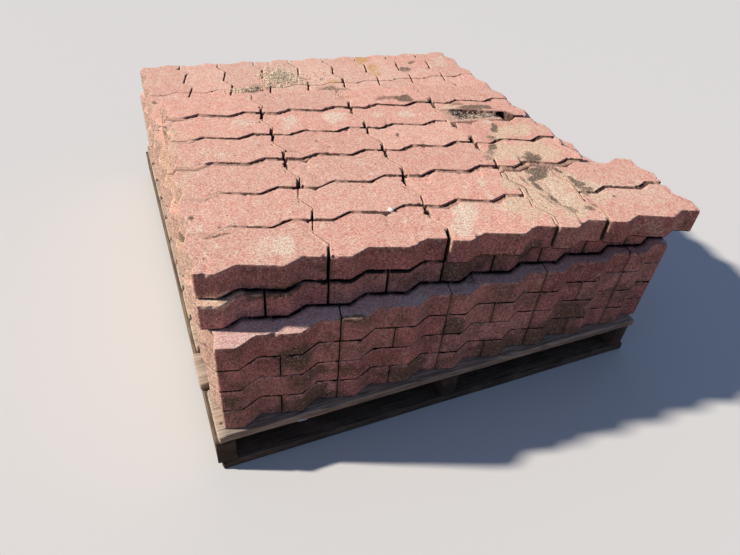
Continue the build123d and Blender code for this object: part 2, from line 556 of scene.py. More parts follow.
    def block(self, place: Place, others: List[Place], above: List[Place], seed: int, order: int) -> Shell:
        """Builds one worn block where it lies.

        Args:
            place: Its place.
            others: The places of its layer.
            above: The places of the layer on it.
            seed: Number of the block, which sets its wear.
            order: Its layer, 0 at the top. Layers 0 to 2 show their tops.

        Returns:
            Vertices, faces and masks.
        """
        shape, rng = self.shape, np.random.default_rng(seed)
        steps = self.steps_low if order else self.steps_top
        top, top_grid, far = shape.thickness, order <= 2, seed * 1.7
        sides, nib = shape.sides(steps), shape.nibs(steps)
        if place.broken:
            sides, nib = self._broken_sides(sides, steps), np.zeros(len(nib))
        loop = np.concatenate(sides)
        m = len(loop)
        flat = np.column_stack([loop, np.zeros(m)]) + far
        rings = self._rings(nib, self._chipping(loop, flat, order, rng), flat, order)
        points, faces = slab(sides, rings, top_grid)
        if place.broken:
            self._roughen_break(points, seed)
        upper = points[:, 2] > top - 0.0004
        probe = points + far
        waves = 0.00035 * value_noise(probe, 0.028, 5) + 0.00016 * value_noise(probe, 0.008, 6) - 0.0004
        points[upper, 2] += waves[upper]
        # Painted shadow: the worn foot of each block, and the top arris of blocks under another layer, are
        # marked to be painted near black.
        seam_shadow = np.zeros(len(points))
        seam_shadow[:self.foot_rings * m] = 1.0
        if not top_grid:
            seam_shadow[(len(rings) - self.arris_rings) * m:] = 1.0
        if order >= 2:
            seam_shadow *= np.clip(0.72 + 0.9 * value_noise(points * (1, 1, 0) + seed, 0.024, 14), 0.25, 1)
        masks = self._wear(place, points, loop, self.inner_share(place, loop, others), seam_shadow)
        masks["tone"] = np.full(len(points), rng.uniform(-1, 1))
        masks["hue"] = np.full(len(points), rng.uniform(-1, 1))
        on_top = points[:, 2] > top - 0.004
        points = turned(points, place.turn) + (place.x, place.y, place.foot)
        close = [other for other in above if self._is_near(place, other)]
        # Joint dirt that is partly painted shade, and painted contact shadow, where blocks of the layer above
        # stand on this top.
        if close:
            for name, dirt in self._dirt_and_shade_below(points[on_top], close).items():
                masks[name][on_top] = np.maximum(masks[name][on_top], dirt)
        return points, faces, masks

    def _wear(self, place: Place, points: Array, loop: Array, inner: Array, seam_shadow: Array) -> Masks:
        """Masks of a block's rim, of its sides that face neighbours, of its break and of the painted shadow
        in its seams.

        Args:
            place: The block's place.
            points: Its vertices before they are placed.
            loop: Its outline.
            inner: Share of each point of the outline that faces a neighbour.
            seam_shadow: How much each vertex belongs to the painted shadow in a seam between layers.

        Returns:
            The masks.
        """
        top, height = self.shape.thickness, points[:, 2]
        edge, nearest = self._edge_distance(points, loop)
        high = smooth_step(top - 0.010, top - 0.001, height)
        inner = inner[nearest]
        low, full = self.inner_fades
        # The inner mask is joint dirt and painted shade on the sides that face a neighbour, below the arris.
        masks = {"rim": (1 - smooth_step(0.0, self.rim_width, edge)) * high * (1 - inner),
                 "inner": inner * (1 - smooth_step(top - low, top - full, height)),
                 "fracture": np.zeros(len(points)), "seam_shadow": seam_shadow}
        if place.broken:
            off_break = self._off_line(points, np.array(self.shape.break_line))
            masks["fracture"] = 1 - smooth_step(*self.break_band, off_break)
            # Painted shadow: the broken wall at the hollow's right end, which the sun reaches, is marked near
            # black as well.
            pit = masks["fracture"] * smooth_step(0.030, 0.046, points[:, 0]) * (height < top - 0.0012)
            masks["seam_shadow"] = np.maximum(seam_shadow, pit)
        return masks

    def _dirt_and_shade_below(self, points: Array, blocks: Sequence[Place]) -> Masks:
        """Dirt and painted shade on a block's top, near and under the edges of blocks that lie on it, with a
        painted contact shadow right at their feet, all kept off the sunlit left end.

        Args:
            points: Vertices of its top in the frame.
            blocks: Places of the blocks on it.

        Returns:
            What the masks reach at least.
        """
        gap = self._reach_out(points, blocks) + 0.003 * value_noise(points, 0.010, 15)
        deep = smooth_step(*self.painted_shade_from_x, points[:, 0])
        bands = {"inner": self.dirt_and_shade_band, "seam_shadow": self.contact_band}
        return {name: (1 - smooth_step(*band, gap)) * deep for name, band in bands.items()}

    def _reach_out(self, points: Array, blocks: Sequence[Place]) -> Array:
        """Flat distance from points to the outlines of blocks that lie on them.

        Args:
            points: Positions in the frame.
            blocks: Places of the blocks.

        Returns:
            The distance to the nearest outline per point.
        """
        best = np.full(len(points), 1.0)
        ring = self.shape.corners()
        for block in blocks:
            line = turned(ring[np.arange(len(ring) + 1) % len(ring)], block.turn) + (block.x, block.y)
            best = np.minimum(best, self._off_line(points, line))
        return best

    @staticmethod
    def _off_line(points: Array, line: Array) -> Array:
        """Flat distance from points to a line of straight runs.

        Args:
            points: The points.
            line: The line's corners.

        Returns:
            One distance per point.
        """
        run = np.diff(line, axis=0)
        away = points[:, None, :2] - line[None, :-1]
        t = np.clip((away * run).sum(2) / (run ** 2).sum(1), 0, 1)
        return np.linalg.norm(away - t[..., None] * run, axis=2).min(1)

    @staticmethod
    def _edge_distance(points: Array, loop: Array) -> Tuple[Array, Array]:
        """Flat distance from points to the nearest point of an outline.

        Args:
            points: The points.
            loop: The outline.

        Returns:
            One distance per point, and the number of the outline's point.
        """
        gaps = ((points[:, None, :2] - loop[None]) ** 2).sum(2)
        nearest = gaps.argmin(1)
        return np.sqrt(gaps[np.arange(len(points)), nearest]), nearest

    def _broken_sides(self, sides: Sequence[Array], steps: int) -> List[Array]:
        """Runs round what is left of the broken block, with the break in place of its front.

        Args:
            sides: Runs of the whole block.
            steps: Fineness of the outline.

        Returns:
            Four runs with as many points as the whole block's.
        """
        loop = np.concatenate(sides)
        depth = loop[:, 1] - self.shape.break_depth(loop[:, 0])
        kept = depth > 0
        start = next(i for i in range(len(loop)) if kept[i] and not kept[i - 1])
        run = [loop[(start + k) % len(loop)] for k in range(int(kept.sum()))]
        first, last = run[0], run[-1]
        line = np.array([p for p in self.shape.break_line if last[0] < p[0] < first[0] and p[1] > first[1]])
        line = np.vstack([last, line, first])
        length = np.concatenate([[0], np.cumsum(np.linalg.norm(np.diff(line, axis=0), axis=1))])
        where = np.linspace(0, length[-1], 12 * steps)
        rough = np.column_stack([np.interp(where, length, line[:, k]) for k in (0, 1)])
        probe = np.column_stack([rough, rough[:, 0] * 0])
        jitter = value_noise(probe, 0.006, 9) * 0.0022 + value_noise(probe, 0.015, 10) * 0.0030
        rough[1:-1, 1] += jitter[1:-1]
        body = np.array(run)
        near = int(np.argmax(body[:, 0] - body[:, 1]))
        corner = int(np.argmax(body[:, 0] + body[:, 1]))
        back = int(np.argmax(body[:, 1] - body[:, 0]))
        front = np.vstack([rough, body[1:near + 1]])
        return [self._resampled(front, 6 * steps), self._resampled(body[near:corner + 1], 3 * steps),
                self._resampled(body[corner:back + 1], 6 * steps), self._resampled(body[back:], 3 * steps)]

    @staticmethod
    def _resampled(run: Array, count: int) -> Array:
        """Sets the points of a run anew, evenly.

        Args:
            run: Flat points.
            count: How many are wanted.

        Returns:
            The new points, without the last one of the run.
        """
        length = np.concatenate([[0], np.cumsum(np.linalg.norm(np.diff(run, axis=0), axis=1))])
        where = np.linspace(0, length[-1], count, endpoint=False)
        return np.column_stack([np.interp(where, length, run[:, k]) for k in (0, 1)])

    def _roughen_break(self, points: Array, seed: int) -> None:
        """Makes the broken wall uneven.

        Args:
            points: The block's vertices, changed in place.
            seed: Number of the block.
        """
        depth = points[:, 1] - self.shape.break_depth(points[:, 0])
        near = (1 - smooth_step(0.002, 0.009, depth)) * smooth_step(0, 0.006, points[:, 2])
        probe = points + seed
        push = 0.0030 * value_noise(probe, 0.013, 11) + 0.0014 * value_noise(probe, 0.005, 12)
        points[:, 1] += push * near
        points[:, 2] += 0.0010 * value_noise(probe, 0.006, 13) * near * (points[:, 2] > 0.045)

    def build(self, course: Course, material: Material) -> Piece:
        """Builds one layer as one piece.

        Args:
            course: The layer.
            material: Its finish.

        Returns:
            The piece.
        """
        data = MeshData()
        order = list(Course).index(course)
        above = self.places[list(Course)[order - 1]] if order in (1, 2) else []
        for n, place in enumerate(self.places[course]):
            points, faces, masks = self.block(place, self.places[course], above, 100 * order + n + 1, order)
            self._weather(points, masks)
            data.add(points, faces, masks)
        return data.to_object(course.value.replace("blocks", "pavers"), material)

    def _weather(self, points: Array, masks: Masks) -> None:
        """Adds the masks of the patches that cover a block.

        Args:
            points: The block's vertices in the frame.
            masks: Its masks, added to in place.
        """
        ragged = value_noise(points, 0.016, 21) + 0.5 * value_noise(points, 0.006, 22)
        for kind in Mark:
            masks[kind.value] = np.zeros(len(points))
        for patch in self.patches:
            masks[patch.kind.value] = np.maximum(masks[patch.kind.value], patch.mask(points, ragged))


@dataclass
class JointSand:
    """Sand and dust that lie in the joints, a little below the blocks' tops."""

    shape: PaverShape
    flush: float = 0.0010
    low: float = 0.0024
    hole: float = 0.030
    reach_in: float = 0.0014
    wide: float = 0.012
    crack: float = 0.0011
    round_turned: Tuple[Tuple[int, float, float, float], ...] = (
        (0, 0.10, 1.0, 0.0088), (0, 1.0, 1.96, 0.0079), (2, 0.04, 1.0, 0.0097), (2, 1.0, 1.90, 0.0046))
    open_front: float = 0.017
    foot: float = 0.040

    def strip(self, data: MeshData, place: Place, run: Tuple[int, float, float], gap: float, top: float,
              seed: int, filled: float = 0.0, dusty: Tuple[float, float] = (0.3, 0.0),
              crack: bool = False) -> None:
        """Adds one strip of sand along part of a block's side.

        Args:
            data: The piece that the strip goes into.
            place: The block's place.
            run: Side of the block, and where the strip starts and ends along it, in modules.
            gap: Width of the joint.
            top: Height of the block's top.
            seed: Number that sets the strip's wear.
            filled: Length from its start, in modules, over which the sand is flush.
            dusty: How much pale dust fills the outline's flat runs and its slanted ones.
            crack: Whether dust fills the joint but for a thin crack along the neighbour.
        """
        side, start, end = run
        corners = self.shape.corners()
        first, last, modules = ((0, 6, 2), (6, 9, 1), (9, 15, 2), (15, 18, 1))[side]
        line = np.vstack([corners[first:last], corners[last % 18]])
        count = max(6, int((end - start) * 42))
        where = np.linspace(start * 3, end * 3, count)
        flat = np.column_stack([np.interp(where, np.arange(len(line)), line[:, k]) for k in (0, 1)])
        tangent = np.gradient(flat, axis=0)
        tangent /= np.linalg.norm(tangent, axis=1)[:, None]
        outward = np.stack([tangent[:, 1], -tangent[:, 0]], 1)
        probe = np.column_stack([flat, np.zeros(count)]) + seed * 0.37
        along = where / 3
        level, dust, near, ends = self._filling(probe, along, modules, dusty)
        if filled > 0:
            near = np.maximum(near, smooth_step(filled + 0.15, filled - 0.05, along))
        if crack:
            near = 1 - ends
        level = level * (1 - near) + near * dust
        across = np.array([-self.reach_in, 0.3 * gap, 0.55 * gap, 0.8 * gap, gap + 0.001])
        dip = np.array([0.0, 0.0003, 0.0006, 0.0004, 0.0])
        pale = np.tile(near[:, None], (1, 7))
        if crack:
            across[1:] = (gap - self.crack) * np.array([0.3, 0.6, 0.85, 1.0])
            dip[4] = 0.0006
        pale[:, 5:] = 0.0
        if gap > self.wide:
            across[1:3] = 0.0032, 0.0055
            dip = np.array([0.0, 0.0022, 0.0012, 0.0010, 0.0010])
            pale[:, 2:5] = 0.55
        rows = []
        for offset, sink in zip(across, dip):
            ripple = 0.0004 * value_noise(probe + offset * 40, 0.004, 33)
            under = np.maximum(level + sink + ripple, 0.0002)
            rows.append(np.column_stack([flat + outward * offset, -under]))
        for offset in (across[-1], across[0]):
            rows.append(np.column_stack([flat + outward * offset, np.full(count, -self.foot)]))
        points = turned(np.stack(rows, 1).reshape(-1, 3), place.turn) + (place.x, place.y, top)
        sandy = smooth_step(0.14, 0.19, points[:, 0]) * smooth_step(-0.15, -0.25, points[:, 1])
        sandy *= 0.3 if gap > self.wide else 0.8
        data.add(points, tube_faces(count, len(rows)), {"pale": pale.ravel(), "sandy": sandy})

    def _filling(self, probe: Array, along: Array, modules: int,
                 dusty: Tuple[float, float]) -> Tuple[Array, Array, Array, Array]:
        """How low sand and dust lie along a joint.

        Args:
            probe: Places of the strip's points in the noise.
            along: Where they lie along the side, in modules.
            modules: Length of the side, in modules.
            dusty: How much pale dust fills the outline's flat runs and its slanted ones.

        Returns:
            The sand's depth, the dust's, the share of dust, and how near an end of the side is.
        """
        steep = smooth_step(0.25, 0.14, np.abs(along % 1 - 0.5))
        dots = np.clip(value_noise(probe, 0.0045, 31) + 0.4 * value_noise(probe, 0.013, 32), -1, 1)
        level = self.flush * (1 + 0.9 * dots) + steep * (self.low + 0.0010 * dots)
        level += 0.0030 * np.clip(value_noise(probe, 0.022, 34) - 0.25, 0, 1)
        ends = smooth_step(0.070, 0.025, np.minimum(along, modules - along))
        level += ends * self.hole * (0.55 + 0.45 * value_noise(probe, 0.03, 35))
        share = dusty[0] * (1 - steep) + dusty[1] * steep
        patchy = smooth_step(0.35 - share, 0.65 - share, value_noise(probe, 0.014, 36))
        if dusty[1] > dusty[0]:
            level += 0.009 * (1 - steep)
        return level, 0.0005 + 0.0003 * dots, share ** 0.5 * patchy * (1 - ends), ends

    def gap_to(self, place: Place, others: Sequence[Place], step: Tuple[float, float]) -> Optional[float]:
        """Width of the joint to the neighbour one step away.

        Args:
            place: The block's place.
            others: The layer's blocks.
            step: Where the neighbour lies, in the block's own directions, with no joint.

        Returns:
            The width, or None where there is no neighbour.
        """
        size = math.hypot(*step)
        for other in others:
            away = turned(np.array([other.x - place.x, other.y - place.y]), -place.turn)
            beyond = away - np.array(step)
            if 0 < np.hypot(*away) and np.hypot(*beyond) < 0.030 and abs(other.turn - place.turn) < 0.3:
                return max(0.003, float(np.dot(away, step) / size - size + self.shape.joint))
        return None

    def build(self, stack: PaverStack, material: Material) -> Piece:
        """Lays the sand of layer 1's rows and of layer 2's bare courses as one piece.

        Args:
            stack: The blocks.
            material: The sand's finish.

        Returns:
            The piece.
        """
        data = MeshData()
        rng = np.random.default_rng(5)
        module = self.shape.module
        loose = stack.places[Course.LOOSE]
        for n, place in enumerate(loose):
            if place.broken:
                continue
            if abs(place.turn) > 0.8:
                for k, (side, start, end, gap) in enumerate(self.round_turned):
                    self.strip(data, place, (side, start, end), gap, BARE_TOP, n + 300 + k, crack=True)
                continue
            front = self.gap_to(place, loose, (0, -module))
            if front is None and place.y > -0.35:
                front = self.open_front
            if front is not None:
                filled = rng.uniform(0.35, 0.75) if place.x < -0.3 else 0.0
                self.strip(data, place, (0, 0.0, 2.0), front, BARE_TOP, n, filled)
            right = self.gap_to(place, loose, (2 * module, 0))
            if right is not None:
                self.strip(data, place, (1, 0.28, 0.74), right, BARE_TOP, n + 50, crack=True)
        second = stack.places[Course.SECOND]
        for n, place in enumerate(second):
            if place.y < 0.0:
                continue
            right = self.gap_to(place, second, (0, -module))
            if right is not None:
                end = 1.84 + 0.12 * rng.random()
                self.strip(data, place, (0, 0.10, 0.90), right, SECOND_TOP, n + 150, dusty=(0.1, 1.0))
                self.strip(data, place, (0, 1.10, end), right, SECOND_TOP, n + 200, dusty=(0.1, 1.0))
            front = self.gap_to(place, second, (-2 * module, 0))
            if front is not None:
                self.strip(data, place, (3, 0.02, 0.98), front, SECOND_TOP, n + 100)
        return data.to_object("joint_sand", material)


@dataclass
class Lumber:
    """The pallet's boards and stringers, built to the size of their nodes."""

    edge: float = 0.0022
    nail_off: float = 0.006
    nail_shares: Tuple[float, float] = (0.27, 0.73)
    nail_clear: float = 0.012
    nail_around: int = 14
    nail_rings: Tuple[Tuple[float, float], ...] = (
        (0.0030, -0.006), (0.0046, -0.0014), (0.0047, -0.0006), (0.0030, -0.0001))
    decks: int = 11
    bottoms: int = 5
    stringers: Tuple[str, ...] = ("left", "middle", "right")

    def member(self, node: str, along: int, seed: int, worn: float) -> Shell:
        """Builds one board or stringer.

        Args:
            node: Its node in the frame.
            along: Axis of its length, 0 for X and 1 for Y.
            seed: Number that sets its wear.
            worn: How ragged its ends are, in metres.

        Returns:
            Vertices, faces and masks.
        """
        low, high = (np.array(v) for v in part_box(node))
        size, middle = high - low, (high + low) / 2
        length, width = (size[0], size[1]) if along == 0 else (size[1], size[0])
        nx, ny = max(40, int(length / 0.018)), max(8, int(width / 0.0036))
        x, y = length / 2, width / 2
        u = np.linspace(-1, 1, nx, endpoint=False)
        v = np.linspace(-1, 1, ny, endpoint=False)
        sides = [np.column_stack([u * x, np.full(nx, -y)]), np.column_stack([np.full(ny, x), v * y]),
                 np.column_stack([-u * x, np.full(nx, y)]), np.column_stack([np.full(ny, -x), -v * y])]
        loop = np.concatenate(sides)
        probe = np.column_stack([loop, np.zeros(len(loop))]) + seed * 2.3
        at_end = np.abs(np.abs(loop[:, 0]) - x) < 1e-6
        corner = smooth_step(y - 0.012, y, np.abs(loop[:, 1])) * at_end
        ragged = worn * (0.4 + 0.6 * np.abs(value_noise(probe, 0.005, 41))) * at_end
        split = worn * 3.5 * np.clip(value_noise(probe, 0.009, 42) - 0.62, 0, 1) * at_end
        loop[:, 0] -= np.sign(loop[:, 0]) * (ragged + split + corner ** 2 * worn * 1.5)
        sway = 0.0009 * (1 + value_noise(probe * (0.12, 1, 1), 0.020, 43)) * (1 - at_end)
        loop[:, 1] -= np.sign(loop[:, 1]) * sway
        sides = np.split(loop, np.cumsum([nx, ny, nx]))
        m, e = len(loop), self.edge
        soft = e * (1 + 0.4 * value_noise(probe, 0.030, 44))
        rings = [(0.0, soft), (soft * 0.35, soft * 0.3), (soft, np.zeros(m))]
        levels = max(2, int(size[2] / 0.009))
        for k in range(1, levels):
            z = e * 1.4 + (size[2] - 2.8 * e) * k / levels
            level = probe + (0, 0, z)
            rings.append((z, 0.0004 + 0.0004 * value_noise(level * (0.15, 1, 1), 0.004, 45)))
        rings += [(size[2] - soft, np.zeros(m)), (size[2] - soft * 0.35, soft * 0.3), (size[2], soft)]
        points, faces = slab(sides, rings, True)
        local = points + seed * 2.3
        face = points[:, 2] > size[2] - 0.0005
        cup = 0.0003 + 0.0003 * value_noise(local * (0.1, 1, 0), 0.007, 46)
        points[face, 2] -= cup[face]
        end = 1 - smooth_step(0.0, 0.030, x - np.abs(points[:, 0]))
        masks = {"end": end, "tone": np.full(len(points), np.random.default_rng(seed).uniform(-1, 1))}
        masks["grain_x"], masks["grain_y"] = points[:, 0] + seed * 0.731, points[:, 1] + seed * 0.177
        masks["grain_z"] = points[:, 2].copy()
        if along == 1:
            points = turned(points, math.pi / 2)
        points = points + (middle[0], middle[1], low[2])
        return points, faces, masks

    def build(self, node: str, piece: str, along: int, seed: int, worn: float, material: Material) -> Piece:
        """Makes one board or stringer as a piece.

        Args:
            node: Its node in the frame.
            piece: The piece's name.
            along: Axis of its length.
            seed: Number that sets its wear.
            worn: How ragged its ends are.
            material: Its finish.

        Returns:
            The piece.
        """
        data = MeshData()
        data.add(*self.member(node, along, seed, worn))
        return data.to_object(piece, material)

    def names(self) -> List[Tuple[str, int]]:
        """Every board and stringer.

        Returns:
            Its node, and the axis of its length.
        """
        boards = [(f"deck_board_{n}", 0) for n in range(1, self.decks + 1)]
        boards += [(f"bottom_board_{n}", 0) for n in range(1, self.bottoms + 1)]
        return boards + [(f"stringer_{side}", 1) for side in self.stringers]

    def nails(self, material: Material) -> Piece:
        """Nail heads where boards cross stringers, as one piece.

        Args:
            material: Their finish.

        Returns:
            The piece.
        """
        data, rng, around, off = MeshData(), np.random.default_rng(11), self.nail_around, self.nail_off
        ring = np.linspace(0, 2 * math.pi, around, endpoint=False)
        for name, along in self.names():
            if along == 1:
                continue
            low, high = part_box(name)
            for side in self.stringers:
                a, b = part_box(f"stringer_{side}")
                for share in self.nail_shares:
                    x = (a.x + b.x) / 2 + rng.uniform(-off, off)
                    y = low.y + (high.y - low.y) * share + rng.uniform(-off, off)
                    x = min(max(x, low.x + self.nail_clear), high.x - self.nail_clear)
                    up, face = (1, high.z) if name.startswith("deck") else (-1, low.z)
                    rows = [np.column_stack([x + radius * np.cos(ring), y + up * radius * np.sin(ring),
                                             np.full(around, face + up * height)])
                            for radius, height in self.nail_rings]
                    data.add(np.concatenate(rows), tube_faces(len(rows), around), {})
        return data.to_object("nail_heads", material)


@dataclass
class LooseDirt:
    """Grit in the broken block's hollow, straw on the back course and a pebble."""

    shape: PaverShape
    bed_front: float = -0.0668
    bed_ends: Tuple[float, float] = (-0.122, 0.080)
    bed_grid: Tuple[int, int] = (66, 30)
    bed_crumbs: int = 170
    crumb_heaps: Tuple[Tuple[float, float, float, int], ...] = (
        (0.283, -0.382, 0.022, 34), (0.318, -0.43, 0.020, 18), (0.300, -0.530, 0.014, 8))
    straw_heaps: Tuple[Tuple[float, float, float, float, int], ...] = (
        (-0.100, 0.428, 0.027, 0.034, 520), (-0.085, 0.385, 0.034, 0.016, 110),
        (-0.215, 0.345, 0.026, 0.010, 120), (-0.150, 0.365, 0.022, 0.018, 70),
        (0.000, 0.400, 0.050, 0.024, 50))
    pebble_at: Tuple[float, float] = (-0.1155, -0.4405)
    pebble_size: float = 0.0056
    splinter_from: Tuple[float, float] = (-0.3589, -0.6227)
    splinter_to: Tuple[float, float] = (-0.3406, -0.6218)

    def hollow_fill(self, place: Place, material: Material) -> Piece:
        """The bed of grit where the broken block's front is missing.

        Args:
            place: The broken block's place.
            material: The grit's finish.

        Returns:
            The piece.
        """
        (nx, ny), front = self.bed_grid, self.bed_front
        x = np.linspace(*self.bed_ends, nx + 1)
        back = self.shape.break_depth(x) + 0.004
        back = np.maximum(back, front + 0.004)
        u = x[:-1]
        sides = [np.column_stack([u, np.full(nx, front)]),
                 np.column_stack([np.full(ny, x[-1]), np.linspace(front, back[-1], ny, endpoint=False)]),
                 np.column_stack([x[1:][::-1], back[1:][::-1]]),
                 np.column_stack([np.full(ny, x[0]), np.linspace(back[0], front, ny, endpoint=False)])]
        rings = [(-0.0535, np.zeros(2 * (nx + ny))), (-0.006, np.zeros(2 * (nx + ny)))]
        points, faces = slab(sides, rings, True)
        surface = points[:, 2] > -0.01
        hole = np.exp(-(((points[:, 0] - 0.056) / 0.018) ** 4 + ((points[:, 1] + 0.045) / 0.022) ** 4))
        dip = np.exp(-(((points[:, 0] + 0.049) / 0.026) ** 2 + ((points[:, 1] + 0.012) / 0.013) ** 2))
        rough = 0.0022 * value_noise(points, 0.009, 51) + 0.0012 * value_noise(points, 0.0035, 52)
        depth = 0.0028 + 0.003 * smooth_step(-0.10, -0.03, points[:, 0]) + 0.044 * hole + 0.032 * dip
        edge = points[:, 1] + 0.004 * value_noise(points, 0.014, 53)
        at_left = 0.8 * (1 - smooth_step(-0.100, -0.075, points[:, 0]))
        dusty = np.maximum((1 - smooth_step(-0.056, -0.050, edge)) * (1 - hole), at_left)
        depth = depth * (1 - 0.85 * dusty)
        points[surface, 2] = np.minimum(-depth + rough * (1 - 0.8 * dusty), -0.0003)[surface]
        points = turned(points, place.turn) + (place.x, place.y, BARE_TOP)
        data = MeshData()
        data.add(points, faces, {"pale": dusty})
        return data.to_object("hollow_grit", material)

    def crumbs(self, place: Place, material: Material) -> Piece:
        """Loose crumbs of grit on the bed and round it, as one piece.

        Args:
            place: The broken block's place.
            material: Their finish.

        Returns:
            The piece.
        """
        data, rng = MeshData(), np.random.default_rng(7)
        spots = []
        for _ in range(self.bed_crumbs):
            x, y = rng.uniform(-0.115, 0.030), rng.uniform(-0.058, 0.000)
            drop = 0.0032 + 0.003 * float(smooth_step(-0.10, -0.03, np.array(x)))
            spots.append((turned(np.array([x, y, 0.0]), place.turn) + (place.x, place.y, BARE_TOP - drop),
                          rng.uniform(0.0010, 0.0026)))
        for x, y, spread, count in self.crumb_heaps:
            for _ in range(count):
                spot = np.array([x + rng.normal(0, spread), y + rng.normal(0, spread), BARE_TOP - 0.0003])
                spots.append((spot, rng.uniform(0.0007, 0.0016)))
        for spot, size in spots:
            data.add(*self._stone(spot, size, rng))
        return data.to_object("grit_crumbs", material)

    @staticmethod
    def _stone(spot: Array, size: float, rng: np.random.Generator, fine: int = 1) -> Shell:
        """One small stone.

        Args:
            spot: Its middle.
            size: Its mean radius.
            rng: Source of its shape.
            fine: Subdivisions of the ball that it starts from.

        Returns:
            Vertices, faces and masks.
        """
        ball = bmesh.new()
        bmesh.ops.create_icosphere(ball, subdivisions=fine, radius=1.0)
        points = np.array([v.co[:] for v in ball.verts])
        faces = [[v.index for v in f.verts] for f in ball.faces]
        ball.free()
        bump = 1 + 0.28 * value_noise(points + rng.uniform(0, 50), 0.8, 61)
        points = points * bump[:, None] * rng.uniform(0.7, 1.25, 3) * size
        points = turned(points, rng.uniform(0, math.pi)) + spot
        return points, faces, {"shade": np.full(len(points), rng.uniform(0, 1))}

    def pebble(self, material: Material) -> Piece:
        """The pale pebble in a joint of layer 1.

        Args:
            material: Its finish.

        Returns:
            The piece.
        """
        data, rng = MeshData(), np.random.default_rng(3)
        data.add(*self._stone(np.array([*self.pebble_at, BARE_TOP - 0.0006]), self.pebble_size, rng, 3))
        return data.to_object("joint_pebble", material)

    def splinter(self, low: float, material: Material) -> Piece:
        """The pale sliver that lies on the deck in front of the stack.

        Args:
            low: Height of the deck's top.
            material: Its finish.

        Returns:
            The piece.
        """
        data = MeshData()
        start, end = np.array(self.splinter_from), np.array(self.splinter_to)
        run = (end - start) / np.linalg.norm(end - start)
        side = np.array([-run[1], run[0]])
        rows = []
        for t, half, lift in ((0.0, 0.0009, 0.0006), (0.2, 0.0021, 0.0014), (0.45, 0.0028, 0.0020),
                              (0.7, 0.0022, 0.0022), (0.9, 0.0014, 0.0014), (1.0, 0.0006, 0.0008)):
            spot = start + (end - start) * t + side * 0.0010 * math.sin(5 * t)
            for across, rise in ((1, 0.0), (0.2, 0.0011), (-1, 0.0003), (-0.1, -0.0004)):
                x, y = spot + side * half * across
                rows.append((x, y, low + lift + rise))
        data.add(np.array(rows), tube_faces(6, 4, False), {"shade": np.full(24, 0.9)})
        return data.to_object("pale_splinter", material)

    def straw(self, material: Material) -> Piece:
        """Bits of dry straw on the back course, as one piece.

        Args:
            material: Their finish.

        Returns:
            The piece.
        """
        data, rng = MeshData(), np.random.default_rng(21)
        for x, y, sx, sy, count in self.straw_heaps:
            for _ in range(count):
                spot = np.array([x + rng.normal(0, sx), y + rng.normal(0, sy)])
                length, heading = rng.uniform(0.005, 0.019), rng.uniform(0, math.pi)
                t = np.linspace(-0.5, 0.5, 4)
                bend = rng.normal(0, 0.22) * (t ** 2 - 0.08) * length
                line = turned(np.column_stack([t * length, bend]), heading) + spot
                lift = SECOND_TOP + 0.0006 + abs(rng.normal(0, 0.0014)) + rng.normal(0, 0.0007) * t
                lift = np.maximum(lift, SECOND_TOP + 0.0003)
                across = turned(np.array([[0.0, 1.0]]), heading)[0] * rng.uniform(0.0004, 0.0008)
                rows = [(p[0] + across[0] * dx, p[1] + across[1] * dx, z + dz) for p, z in zip(line, lift)
                        for dx, dz in ((1, 0.0), (0, 0.0005), (-1, 0.0), (0, -0.0002))]
                data.add(np.array(rows), tube_faces(4, 4, False), {"shade": np.full(16, rng.uniform(0, 1))})
        return data.to_object("straw_bits", material)


